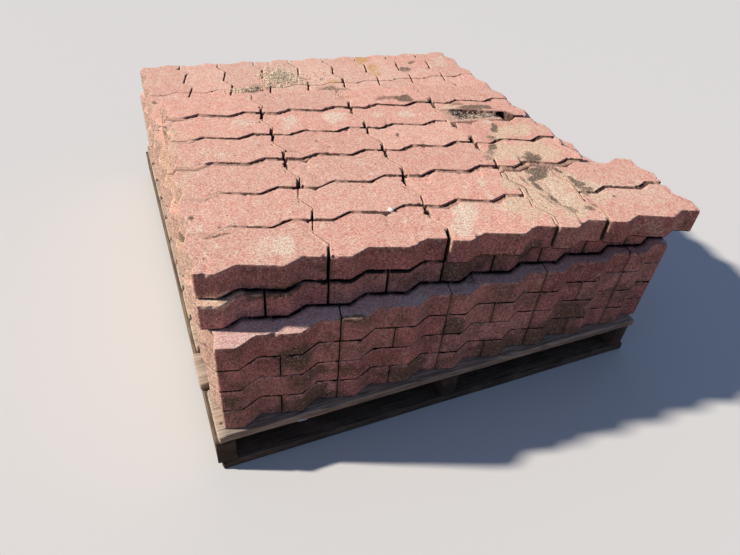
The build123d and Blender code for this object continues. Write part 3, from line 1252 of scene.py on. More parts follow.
class Graph:
    """A node tree with short calls for the nodes that the finishes use."""

    def __init__(self, tree: Tree) -> None:
        """Wraps a node tree."""
        self.tree = tree

    def node(self, kind: str, inputs: Dict[object, object], **settings: object) -> Node:
        """Adds a node.

        Args:
            kind: Its type.
            inputs: Sockets or plain values by the name or number of its inputs.
            settings: Its properties, set before its inputs.

        Returns:
            The node.
        """
        made = self.tree.nodes.new(kind)
        for name, value in settings.items():
            setattr(made, name, value)
        for name, value in inputs.items():
            self.put(made.inputs[name], value)
        return made

    def put(self, socket: Socket, value: object) -> None:
        """Links a socket, or sets it when the value is plain.

        Args:
            socket: The socket.
            value: What goes into it. A colour may come without its alpha.
        """
        if isinstance(value, Socket):
            self.tree.links.new(value, socket)
        elif isinstance(value, tuple) and socket.type == "RGBA":
            socket.default_value = (*value, 1.0)
        else:
            socket.default_value = value

    def mix(self, share: object, a: object, b: object, blend: str = "MIX") -> Socket:
        """Mixes two colours."""
        inputs = {0: share, 6: a, 7: b}
        return self.node("ShaderNodeMix", inputs, data_type="RGBA", blend_type=blend).outputs[2]

    def tinted(self, body: Socket, by: Socket) -> Socket:
        """A colour times another."""
        return self.mix(1.0, body, by, "MULTIPLY")

    def coat(self, body: Socket, share: object, weight: object, colour: object) -> Socket:
        """Lays a colour over another, as far as a share times a weight goes."""
        return self.mix(self.times(share, weight), body, colour)

    def math(self, operation: str, a: object, b: object = 0.0, clamp: bool = False) -> Socket:
        """Works out one number from two."""
        return self.node("ShaderNodeMath", {0: a, 1: b}, operation=operation, use_clamp=clamp).outputs[0]

    def times(self, a: object, b: object, clamp: bool = False) -> Socket:
        """The product of two numbers."""
        return self.math("MULTIPLY", a, b, clamp)

    def plus(self, a: object, b: object, clamp: bool = False) -> Socket:
        """The sum of two numbers."""
        return self.math("ADD", a, b, clamp)

    def minus(self, a: object, b: object) -> Socket:
        """The first number less the second."""
        return self.math("SUBTRACT", a, b)

    def ramp(self, value: Socket, low: object, high: object, to_low: float = 0, to_high: float = 1) -> Socket:
        """Maps a value from one range to another, eased and clamped."""
        inputs = {"Value": value, "From Min": low, "From Max": high, "To Min": to_low, "To Max": to_high}
        return self.node("ShaderNodeMapRange", inputs, interpolation_type="SMOOTHSTEP").outputs[0]

    def noise(self, vector: Socket, scale: object, detail: float, rough: float = 0.5,
              warp: float = 0) -> Socket:
        """Noise from 0 to 1."""
        inputs = {"Vector": vector, "Scale": scale, "Detail": detail, "Roughness": rough, "Distortion": warp}
        return self.node("ShaderNodeTexNoise", inputs).outputs["Fac"]

    def cells(self, vector: Socket, scale: object) -> Tuple[Socket, Socket]:
        """Scattered cells: distance to the nearest middle, and a number of each cell's own."""
        made = self.node("ShaderNodeTexVoronoi", {"Vector": vector, "Scale": scale}).outputs
        return made["Distance"], self.node("ShaderNodeSeparateColor", {0: made["Color"]}).outputs[0]

    def scaled(self, vector: Socket, by: Tuple[float, float, float]) -> Socket:
        """A vector times another, part by part."""
        return self.node("ShaderNodeVectorMath", {0: vector, 1: by}, operation="MULTIPLY").outputs[0]

    def grey(self, value: Socket) -> Socket:
        """A value as a grey colour."""
        return self.node("ShaderNodeCombineColor", {0: value, 1: value, 2: value}).outputs[0]

    def mask(self, name: str) -> Socket:
        """A mask of the mesh."""
        return self.node("ShaderNodeAttribute", {}, attribute_name=name).outputs["Fac"]

    def group(self, tree: Tree, **values: object) -> Outputs:
        """Places a node group with its inputs set and gives what it puts out."""
        inputs = {name.replace("_", " "): value for name, value in values.items()}
        return self.node("ShaderNodeGroup", inputs, node_tree=tree).outputs


class Effects:
    """Node groups that more than one finish uses, each built once."""

    def __init__(self) -> None:
        """Builds the groups."""
        self.sand_grain = self._sand_grain()
        self.cloud = self._cloud()
        self.wood_grain = self._wood_grain()

    @staticmethod
    def _start(name: str, **numbers: float) -> Tuple[Graph, Outputs]:
        """Starts a node group that takes a vector and some numbers.

        Args:
            name: Its name.
            numbers: First value of each number.

        Returns:
            Its graph and what comes into it.
        """
        tree = bpy.data.node_groups.new(name, "ShaderNodeTree")
        tree.interface.new_socket("Vector", in_out="INPUT", socket_type="NodeSocketVector")
        for name, value in numbers.items():
            label = name.replace("_", " ")
            made = tree.interface.new_socket(label, in_out="INPUT", socket_type="NodeSocketFloat")
            made.default_value = value
        graph = Graph(tree)
        return graph, graph.node("NodeGroupInput", {}).outputs

    @staticmethod
    def _end(graph: Graph, **results: Socket) -> Tree:
        """Gives a node group its outputs.

        Args:
            graph: Its graph.
            results: What each of them puts out.

        Returns:
            The group.
        """
        found = {label.replace("_", " "): item for label, item in results.items()}
        for label in found:
            graph.tree.interface.new_socket(label, in_out="OUTPUT", socket_type="NodeSocketFloat")
        graph.node("NodeGroupOutput", found)
        return graph.tree

    def _sand_grain(self) -> Tree:
        """Sand and small stones in cast concrete: fine grain, pale and dark specks, pits and a height.

        Returns:
            The group.
        """
        graph, given = self._start("sand_grain", Grain_size=0.0016, Speck_share=0.08, Pit_share=0.03)
        vector, share = given["Vector"], given["Speck share"]
        fine = graph.math("DIVIDE", 0.62, given["Grain size"])
        grain = graph.noise(vector, fine, 2.0, 0.62)
        coarse = graph.noise(vector, graph.times(fine, 0.45), 2.0, 0.6)
        blend = graph.plus(graph.times(grain, 0.65), graph.times(coarse, 0.35))
        near, own = graph.cells(vector, graph.times(fine, 0.70))
        spot = graph.ramp(near, 0.38, 0.20)
        pale = graph.times(spot, graph.math("GREATER_THAN", own, graph.minus(1.0, share)))
        dark = graph.times(spot, graph.math("LESS_THAN", own, graph.times(share, 0.8)))
        hole, one = graph.cells(vector, graph.times(fine, 0.33))
        pits = graph.times(graph.ramp(hole, 0.30, 0.12), graph.math("LESS_THAN", one, given["Pit share"]))
        height = graph.minus(graph.plus(blend, graph.times(pale, 0.25)), graph.times(pits, 1.3))
        return self._end(graph, Grain=blend, Pale_specks=pale, Dark_specks=dark, Pits=pits, Height=height)

    def _cloud(self) -> Tree:
        """Soft clouds with ragged edges: a mask that covers about a share of the surface.

        Returns:
            The group.
        """
        graph, given = self._start("cloud", Size=0.03, Cover=0.3, Softness=0.12)
        base = graph.noise(given["Vector"], graph.math("DIVIDE", 1.0, given["Size"]), 5.0, 0.62, 0.4)
        edge, soft = graph.minus(0.68, graph.times(given["Cover"], 0.36)), given["Softness"]
        return self._end(graph, Mask=graph.ramp(base, graph.minus(edge, soft), graph.plus(edge, soft)))

    def _wood_grain(self) -> Tree:
        """Weathered grain along X: growth rings, fine fibre, cracks and a height.

        Returns:
            The group.
        """
        graph, given = self._start("wood_grain", Ring_size=0.007)
        vector = given["Vector"]
        sway = graph.noise(graph.scaled(vector, (0.9, 9.0, 9.0)), 1.0, 2.0)
        scale = graph.math("DIVIDE", 1.0, given["Ring size"])
        rings = graph.noise(graph.scaled(vector, (0.05, 1.0, 1.0)), scale, 2.5, 0.55, 0.6)
        wave = graph.math("SINE", graph.plus(graph.times(rings, 22.0), graph.times(sway, 14.0)))
        bands = graph.node("ShaderNodeMath", {0: wave, 1: 0.5, 2: 0.5}, operation="MULTIPLY_ADD").outputs[0]
        fibre = graph.noise(graph.scaled(vector, (12.0, 360.0, 360.0)), 1.0, 4.0, 0.65)
        check = graph.noise(graph.scaled(vector, (7.0, 330.0, 330.0)), 1.0, 3.0, 0.6, 0.3)
        cracks = graph.ramp(check, 0.655, 0.73)
        height = graph.plus(graph.times(bands, 0.55), graph.times(fibre, 0.5))
        height = graph.minus(height, graph.times(cracks, 1.6))
        return self._end(graph, Rings=bands, Fibre=fibre, Cracks=cracks, Height=height)


def new_material(name: str) -> Tuple[Material, Node]:
    """Starts a material.

    Args:
        name: Its name.

    Returns:
        The material and its Principled shader.
    """
    material = bpy.data.materials.new(name)
    material.use_nodes = True
    return material, material.node_tree.nodes["Principled BSDF"]


class Surface(NamedTuple):
    """What a finish paints: a colour, a roughness, and a height with its depth, strength and gloss."""

    body: Socket
    rough: Socket
    height: Socket
    depth: float
    strength: float
    gloss: float = 0.5


class Brush(Graph):
    """A material's graph with the shared effects, laid over the object."""

    def __init__(self, tree: Tree, effects: Effects) -> None:
        """Wraps a material's tree.

        Args:
            tree: The tree.
            effects: The shared node groups.
        """
        super().__init__(tree)
        self.effects = effects
        self.place = self.node("ShaderNodeTexCoord", {}).outputs["Object"]

    def texture(self, scale: float, detail: float, rough: float = 0.5) -> Socket:
        """Noise over the object, from 0 to 1."""
        return self.noise(self.place, scale, detail, rough)

    def sand_grain(self, size: float, specks: float, pits: float) -> Outputs:
        """The grain of sand over the object."""
        shares = {"Speck_share": specks, "Pit_share": pits}
        return self.group(self.effects.sand_grain, Vector=self.place, Grain_size=size, **shares)

    def cloud(self, size: float, cover: float, softness: float) -> Socket:
        """Soft clouds over the object."""
        return self.group(self.effects.cloud, Vector=self.place, Size=size, Cover=cover, Softness=softness)[0]


@dataclass(frozen=True)
class Finish:
    """One material of the pallet. Each kind paints its own surface."""

    name: str

    def paint(self, brush: Brush) -> Surface:
        """Paints the surface.

        Args:
            brush: The material's graph, with the shared effects.

        Returns:
            What goes into the shader.
        """
        raise NotImplementedError

    def make(self, effects: Effects) -> Material:
        """Builds the material.

        Args:
            effects: The shared node groups.

        Returns:
            The material.
        """
        material, shader = new_material(self.name)
        brush = Brush(material.node_tree, effects)
        painted = self.paint(brush)
        relief = {"Distance": painted.depth, "Strength": painted.strength, "Height": painted.height}
        bump = brush.node("ShaderNodeBump", relief).outputs[0]
        for name, value in (("Base Color", painted.body), ("Roughness", painted.rough), ("Normal", bump),
                            ("Specular IOR Level", painted.gloss)):
            brush.put(shader.inputs[name], value)
        return material


@dataclass(frozen=True)
class ConcreteFinish(Finish):
    """Weathered red concrete: a bleached top, redder sides, dust, dirt and specks, with painted shade in its
    joints, seams and on its arrises.
    """

    top: Colour = (0.83, 0.408, 0.317)
    top_warm: Colour = (0.84, 0.490, 0.373)
    side: Colour = (0.57, 0.240, 0.205)
    side_deep: Colour = (0.41, 0.172, 0.147)
    # Sandy colour of the sides that face -X, which also serves as painted shade on arrises that face the sun.
    left: Colour = (0.43, 0.280, 0.215)
    bleach: Colour = (0.88, 0.70, 0.54)
    tan: Colour = (0.82, 0.57, 0.40)
    grey: Colour = (0.165, 0.118, 0.082)
    orange: Colour = (0.72, 0.40, 0.17)
    olive: Colour = (0.175, 0.118, 0.078)
    core: Colour = (0.28, 0.155, 0.115)
    # Painted shadow: the near black of the seams between layers and of the contact lines.
    seam_shadow: Colour = (0.005, 0.004, 0.004)
    # Joint dirt and painted shade, for joints and beside blocks lying on top.
    joint_dirt_and_shade: Colour = (0.060, 0.034, 0.026)
    rim: Colour = (0.86, 0.64, 0.50)
    # Painted shade for the rounded top edges, so they show no lit rim.
    arris: Colour = (0.24, 0.105, 0.085)
    pale_speck: Colour = (0.86, 0.74, 0.62)
    dark_speck: Colour = (0.20, 0.085, 0.065)
    pit: Colour = (0.085, 0.045, 0.035)
    grain_on_side: Tuple[Colour, Colour] = ((0.52, 0.44, 0.44), (1.50, 1.52, 1.55))
    grain_on_top: Tuple[Colour, Colour] = ((0.74, 0.50, 0.45), (1.18, 1.44, 1.50))
    cloud_cover: float = 0.05
    side_grime: float = 0.22

    def paint(self, brush: Brush) -> Surface:
        """Paints the concrete from its tone up to the painted shadow in its seams.

        Args:
            brush: The material's graph, with the shared effects.

        Returns:
            What goes into the shader.
        """
        normal = brush.node("ShaderNodeNewGeometry", {}).outputs["Normal"]
        facing = brush.node("ShaderNodeSeparateXYZ", {0: normal}).outputs
        up, west = brush.ramp(facing[2], 0.35, 0.80), brush.times(facing[0], -1.0)
        left = brush.ramp(west, 0.55, 0.85)
        grain = brush.sand_grain(0.0016, 0.16, 0.030)
        mottle = brush.texture(42.0, 4.0, 0.6)
        top = brush.mix(brush.ramp(mottle, 0.32, 0.70), self.top, self.top_warm)
        wide = brush.texture(11.0, 3.0, 0.55)
        side = brush.mix(brush.ramp(wide, 0.34, 0.64), self.side, self.side_deep)
        body = brush.mix(up, brush.mix(left, side, self.left), top)
        body = brush.mix(brush.ramp(brush.mask("hue"), -1.0, 1.0, 0.0, 0.12), body, self.bleach)
        body = brush.tinted(body, brush.grey(brush.ramp(brush.mask("tone"), -1.0, 1.0, 0.96, 1.06)))
        grime = brush.cloud(0.045, self.side_grime, 0.10)
        on_side = brush.times(brush.times(grime, brush.minus(1.0, up)), brush.minus(1.0, left))
        body = brush.coat(body, on_side, 0.55, self.olive)
        cloud = brush.cloud(0.030, self.cloud_cover, 0.09)
        body = brush.coat(body, cloud, brush.ramp(up, 0.0, 1.0, 0.25, 0.75), self.bleach)
        body, tatter = self._stained(brush, body)
        body = brush.coat(body, brush.mask("fracture"), 0.8, self.core)
        worn = brush.times(brush.mask("rim"), brush.ramp(brush.texture(90.0, 3.0, 0.6), 0.42, 0.62))
        body = brush.coat(body, worn, 0.34, self.rim)
        deep, bright = (brush.mix(up, a, b) for a, b in zip(self.grain_on_side, self.grain_on_top))
        body = brush.tinted(body, brush.mix(brush.ramp(grain["Grain"], 0.34, 0.66), deep, bright))
        # Painted shade on the rounded top edges, stronger along the worn rim.
        arris_shade = brush.times(brush.ramp(facing[2], 0.25, 0.70), brush.ramp(facing[2], 0.98, 0.82))
        arris_shade = brush.times(arris_shade, brush.plus(0.30, brush.mask("rim")), True)
        # Painted shade: arrises that face the sun take the left side's colour, so they do not shine as bright
        # lines.
        sunward_arris_shade = brush.times(brush.ramp(west, 0.32, 0.70), brush.ramp(facing[2], 0.12, 0.45))
        # Painted shadow along the seams, ragged by the stain noise, and fainter on the sunlit left side.
        seam_shadow = brush.plus(brush.mask("seam_shadow"), brush.times(brush.minus(tatter, 0.475), 1.2))
        seam_shadow_share = brush.minus(1.0, brush.times(left, 0.55))
        for share, weight, colour in (
                (grain["Pale specks"], brush.ramp(up, 0.0, 1.0, 0.95, 0.55), self.pale_speck),
                (grain["Dark specks"], 0.50, self.dark_speck), (grain["Pits"], 0.75, self.pit),
                (brush.mask("inner"), 0.85, self.joint_dirt_and_shade), (arris_shade, 0.50, self.arris),
                (sunward_arris_shade, 0.62, self.left), (brush.ramp(seam_shadow, 0.30, 0.66), seam_shadow_share, self.seam_shadow)):
            body = brush.coat(body, share, weight, colour)
        return Surface(body, brush.ramp(mottle, 0.2, 0.8, 0.84, 0.96), grain["Height"], 0.0011, 0.55, 0.22)

    def _stained(self, brush: Brush, body: Socket) -> Tuple[Socket, Socket]:
        """Lays the patches of weathering over a colour, each with a ragged edge.

        Args:
            brush: The material's graph, with the shared effects.
            body: The colour under them.

        Returns:
            The stained colour, and the noise that tatters their edges.
        """
        tatter = brush.plus(brush.times(brush.texture(170.0, 3.0, 0.62), 0.45),
                            brush.times(brush.texture(620.0, 2.0, 0.6), 0.50))
        speckle = brush.plus(brush.times(brush.texture(230.0, 3.0, 0.65), 2.6),
                             brush.times(brush.texture(430.0, 2.0, 0.6), 2.6))
        speckle = brush.minus(speckle, 1.6)
        for name, colour, weight in (("tan", self.tan, 0.95), ("orange", self.orange, 0.9),
                                     ("olive", self.olive, 0.9)):
            cover = brush.ramp(brush.plus(brush.mask(name), tatter), 0.58, 1.22, 0.0, weight)
            body = brush.mix(cover, body, colour)
        for name, colour, low, high, weight in (("bleach", self.bleach, 0.12, 1.02, 0.90),
                                                ("grey", self.grey, 0.20, 1.15, 0.95)):
            cover = brush.ramp(brush.times(brush.mask(name), speckle), low, high, 0.0, weight)
            body = brush.mix(cover, body, colour)
        return body, tatter


@dataclass(frozen=True)
class EarthFinish(Finish):
    """Loose mineral dirt: sand, dust or grit, with pale and dark grains."""

    pale: Colour
    dark: Colour
    speck: Colour
    dust: Colour = (0.74, 0.44, 0.33)
    sandy: Colour = (0.72, 0.49, 0.345)
    dark_speck: Colour = (0.05, 0.04, 0.035)
    grain: float = 0.0014
    dark_cover: float = 0.4

    def paint(self, brush: Brush) -> Surface:
        """Paints the grains, and the dust that covers them where the mesh says so.

        Args:
            brush: The material's graph, with the shared effects.

        Returns:
            What goes into the shader.
        """
        grain = brush.sand_grain(self.grain, 0.16, 0.10)
        cloud = brush.cloud(0.014, self.dark_cover, 0.10)
        body = brush.mix(cloud, self.pale, self.dark)
        body = brush.mix(brush.ramp(grain["Grain"], 0.36, 0.62), self.dark, body)
        body = brush.coat(body, grain["Pale specks"], 0.7, self.speck)
        body = brush.coat(body, grain["Dark specks"], 0.7, self.dark_speck)
        dust = brush.mix(brush.mask("sandy"), self.dust, self.sandy)
        body = brush.coat(body, brush.mask("pale"), brush.ramp(grain["Grain"], 0.30, 0.5, 0.75, 0.95), dust)
        rough = brush.ramp(grain["Grain"], 0.2, 0.8, 0.86, 0.98)
        return Surface(body, rough, grain["Height"], 0.0016, 0.7, 0.15)


@dataclass(frozen=True)
class ShadedFinish(Finish):
    """Small bits that differ in shade one by one, such as straw or crumbs."""

    dark: Colour
    light: Colour
    fine: float = 260.0

    def paint(self, brush: Brush) -> Surface:
        """Paints each bit in its own shade, with speckles.

        Args:
            brush: The material's graph, with the shared effects.

        Returns:
            What goes into the shader.
        """
        speckle = brush.texture(self.fine, 3.0, 0.6)
        share = brush.plus(brush.times(brush.mask("shade"), 0.75), brush.times(speckle, 0.45), True)
        cloud = brush.cloud(0.004, 0.3, 0.12)
        body = brush.coat(brush.mix(share, self.dark, self.light), cloud, 0.3, self.dark)
        return Surface(body, brush.ramp(speckle, 0.2, 0.8, 0.7, 0.95), speckle, 0.0006, 0.5)


@dataclass(frozen=True)
class WoodFinish(Finish):
    """Rough-sawn lumber, silvered by weather, with open grain and dirt."""

    light: Colour = (0.60, 0.47, 0.35)
    silver: Colour = (0.40, 0.345, 0.285)
    ring: Colour = (0.20, 0.150, 0.110)
    crack: Colour = (0.045, 0.035, 0.028)
    dust: Colour = (0.44, 0.30, 0.23)
    end_grain: Colour = (0.62, 0.50, 0.38)
    end_share: float = 0.38
    ring_size: float = 0.0060
    dust_cover: float = 0.28
    fibre_low: float = 0.4775

    def paint(self, brush: Brush) -> Surface:
        """Paints the grain along each board's own length, its end grain, dust and cracks.

        Args:
            brush: The material's graph, with the shared effects.

        Returns:
            What goes into the shader.
        """
        parts = {axis: brush.mask(f"grain_{letter}") for axis, letter in enumerate("xyz")}
        along = brush.node("ShaderNodeCombineXYZ", parts).outputs[0]
        wood = brush.group(brush.effects.wood_grain, Vector=along, Ring_size=self.ring_size)
        blotch = brush.noise(brush.scaled(along, (3.0, 16.0, 16.0)), 1.0, 4.0, 0.6)
        body = brush.mix(brush.ramp(blotch, 0.36, 0.62), self.light, self.silver)
        body = brush.coat(body, brush.ramp(wood["Rings"], 0.35, 0.95), 0.82, self.ring)
        for shade in (brush.ramp(wood["Fibre"], 0.25, 0.75, self.fibre_low, 1.18),
                      brush.ramp(brush.mask("tone"), -1.0, 1.0, 0.82, 1.10)):
            body = brush.tinted(body, brush.grey(shade))
        dust = brush.cloud(0.05, self.dust_cover, 0.12)
        grit = brush.sand_grain(0.0018, 0.05, 0.02)
        for share, weight, colour in (
                (brush.mask("end"), self.end_share, self.end_grain), (dust, 0.45, self.dust),
                (grit["Dark specks"], 0.45, self.crack), (wood["Cracks"], 0.85, self.crack)):
            body = brush.coat(body, share, weight, colour)
        rough = brush.ramp(wood["Fibre"], 0.2, 0.8, 0.78, 0.95)
        return Surface(body, rough, wood["Height"], 0.0014, 0.65, 0.25)


@dataclass(frozen=True)
class RustFinish(Finish):
    """Rusty iron of the nail heads."""

    light: Colour = (0.17, 0.105, 0.072)
    dark: Colour = (0.070, 0.048, 0.038)

    def paint(self, brush: Brush) -> Surface:
        """Paints the rust in two browns.

        Args:
            brush: The material's graph, with the shared effects.

        Returns:
            What goes into the shader.
        """
        cloud = brush.cloud(0.003, 0.5, 0.15)
        body = brush.mix(cloud, self.light, self.dark)
        return Surface(body, brush.ramp(cloud, 0.0, 1.0, 0.9, 0.6), brush.texture(900.0, 3.0), 0.0004, 0.6)


@dataclass
class Studio:
    """The pale floor, the light and the camera of the photograph's view."""

    floor_seen: Colour = (0.74, 0.725, 0.70)
    floor_lit: Colour = (0.36, 0.26, 0.19)
    sky: Colour = (0.42, 0.60, 1.0)
    sky_seen: Colour = (0.93, 0.93, 0.92)
    sun: Colour = (1.0, 0.930, 0.835)
    sky_strength: float = 0.27
    sky_seen_strength: float = 0.9
    floor_reach: float = 30.0
    sun_strength: float = 5.4
    sun_soft: float = 2.5
    sun_heading: float = -21.8
    sun_height: float = 30.0
    camera_at: Tuple[float, float, float] = (-0.5484, -1.2545, 1.0033)
    camera_right: Tuple[float, float, float] = (0.91956, -0.38552, 0.07609)
    camera_down: Tuple[float, float, float] = (-0.19025, -0.60620, -0.77222)
    focal_pixels: float = 560.0
    frame_width: float = 740.0
    sensor: float = 36.0

    def build(self) -> None:
        """Sets up the floor, world, sun and camera."""
        self._floor()
        self._world()
        self._sun()
        self._camera()

    def _floor(self) -> None:
        """Lays a wide pale floor, darker to bounced light than to the camera."""
        mesh = bpy.data.meshes.new("floor")
        r = self.floor_reach
        mesh.from_pydata([(-r, -r, 0), (r, -r, 0), (r, r, 0), (-r, r, 0)], [], [(0, 1, 2, 3)])
        floor = bpy.data.objects.new("floor", mesh)
        bpy.context.scene.collection.objects.link(floor)
        material, shader = new_material("studio_floor")
        graph = Graph(material.node_tree)
        path = graph.node("ShaderNodeLightPath", {}).outputs
        seen = graph.math("MAXIMUM", path["Is Camera Ray"], path["Is Glossy Ray"])
        graph.put(shader.inputs["Base Color"], graph.mix(seen, self.floor_lit, self.floor_seen))
        shader.inputs["Roughness"].default_value = 0.9
        shader.inputs["Specular IOR Level"].default_value = 0.1
        mesh.materials.append(material)

    def _world(self) -> None:
        """Gives the world an even sky colour, paler to the camera."""
        world = bpy.data.worlds.new("studio")
        world.use_nodes = True
        graph = Graph(world.node_tree)
        back = world.node_tree.nodes["Background"]
        seen = graph.node("ShaderNodeLightPath", {}).outputs["Is Camera Ray"]
        graph.put(back.inputs["Color"], graph.mix(seen, self.sky, self.sky_seen))
        strength = graph.ramp(seen, 0.0, 1.0, self.sky_strength, self.sky_seen_strength)
        graph.put(back.inputs["Strength"], strength)
        bpy.context.scene.world = world

    def _sun(self) -> None:
        """Adds one soft sun from the back left."""
        light = bpy.data.lights.new("key", "SUN")
        light.energy = self.sun_strength
        light.angle = math.radians(self.sun_soft)
        light.color = self.sun
        sun = bpy.data.objects.new("key", light)
        heading, height = math.radians(self.sun_heading), math.radians(self.sun_height)
        flat = math.cos(height)
        travel = np.array([math.cos(heading) * flat, math.sin(heading) * flat, -math.sin(height)])
        side = np.cross(travel, (0, 0, 1))
        side /= np.linalg.norm(side)
        rows = np.column_stack([side, np.cross(side, travel), -travel])
        sun.matrix_world = Matrix(rows.tolist()).to_4x4()
        bpy.context.scene.collection.objects.link(sun)

    def _camera(self) -> None:
        """Places the camera where the photograph was taken."""
        data = bpy.data.cameras.new("camera")
        data.sensor_width = self.sensor
        data.lens = self.focal_pixels / self.frame_width * self.sensor
        data.clip_end = 100.0
        camera = bpy.data.objects.new("camera", data)
        right, down, ahead = self._view()
        turn = Matrix(np.column_stack([right, -down, -ahead]).tolist()).to_4x4()
        camera.matrix_world = Matrix.Translation(self.camera_at) @ turn
        bpy.context.scene.collection.objects.link(camera)
        bpy.context.scene.camera = camera

    def _view(self) -> Tuple[Array, Array, Array]:
        """The camera's directions to the right, down and ahead.

        Returns:
            Three unit vectors at right angles.
        """
        right = np.array(self.camera_right) / np.linalg.norm(self.camera_right)
        down = np.array(self.camera_down) - right * np.dot(right, self.camera_down)
        down /= np.linalg.norm(down)
        return right, down, np.cross(right, down)

    def seen_axes(self, spot: Sequence[float], across: float, deep: float, turn: float = 0.0) -> List[Array]:
        """Half axes of a level ellipse as it shows in the photograph.

        Args:
            spot: Its middle in the frame.
            across: Its half length in the photograph, in pixels.
            deep: Its half width in the photograph, in pixels.
            turn: How far its length slopes down to the right in the photograph, in degrees.

        Returns:
            The half axes in the frame, in metres.
        """
        right, down, ahead = self._view()
        away = np.array(spot) - self.camera_at
        pixel = away @ ahead / self.focal_pixels
        u, v = (pixel * (side - away * side[2] / away[2]) for side in (right, down))
        c, s = math.cos(math.radians(turn)), math.sin(math.radians(turn))
        return [across * (c * u + s * v), deep * (c * v - s * u)]


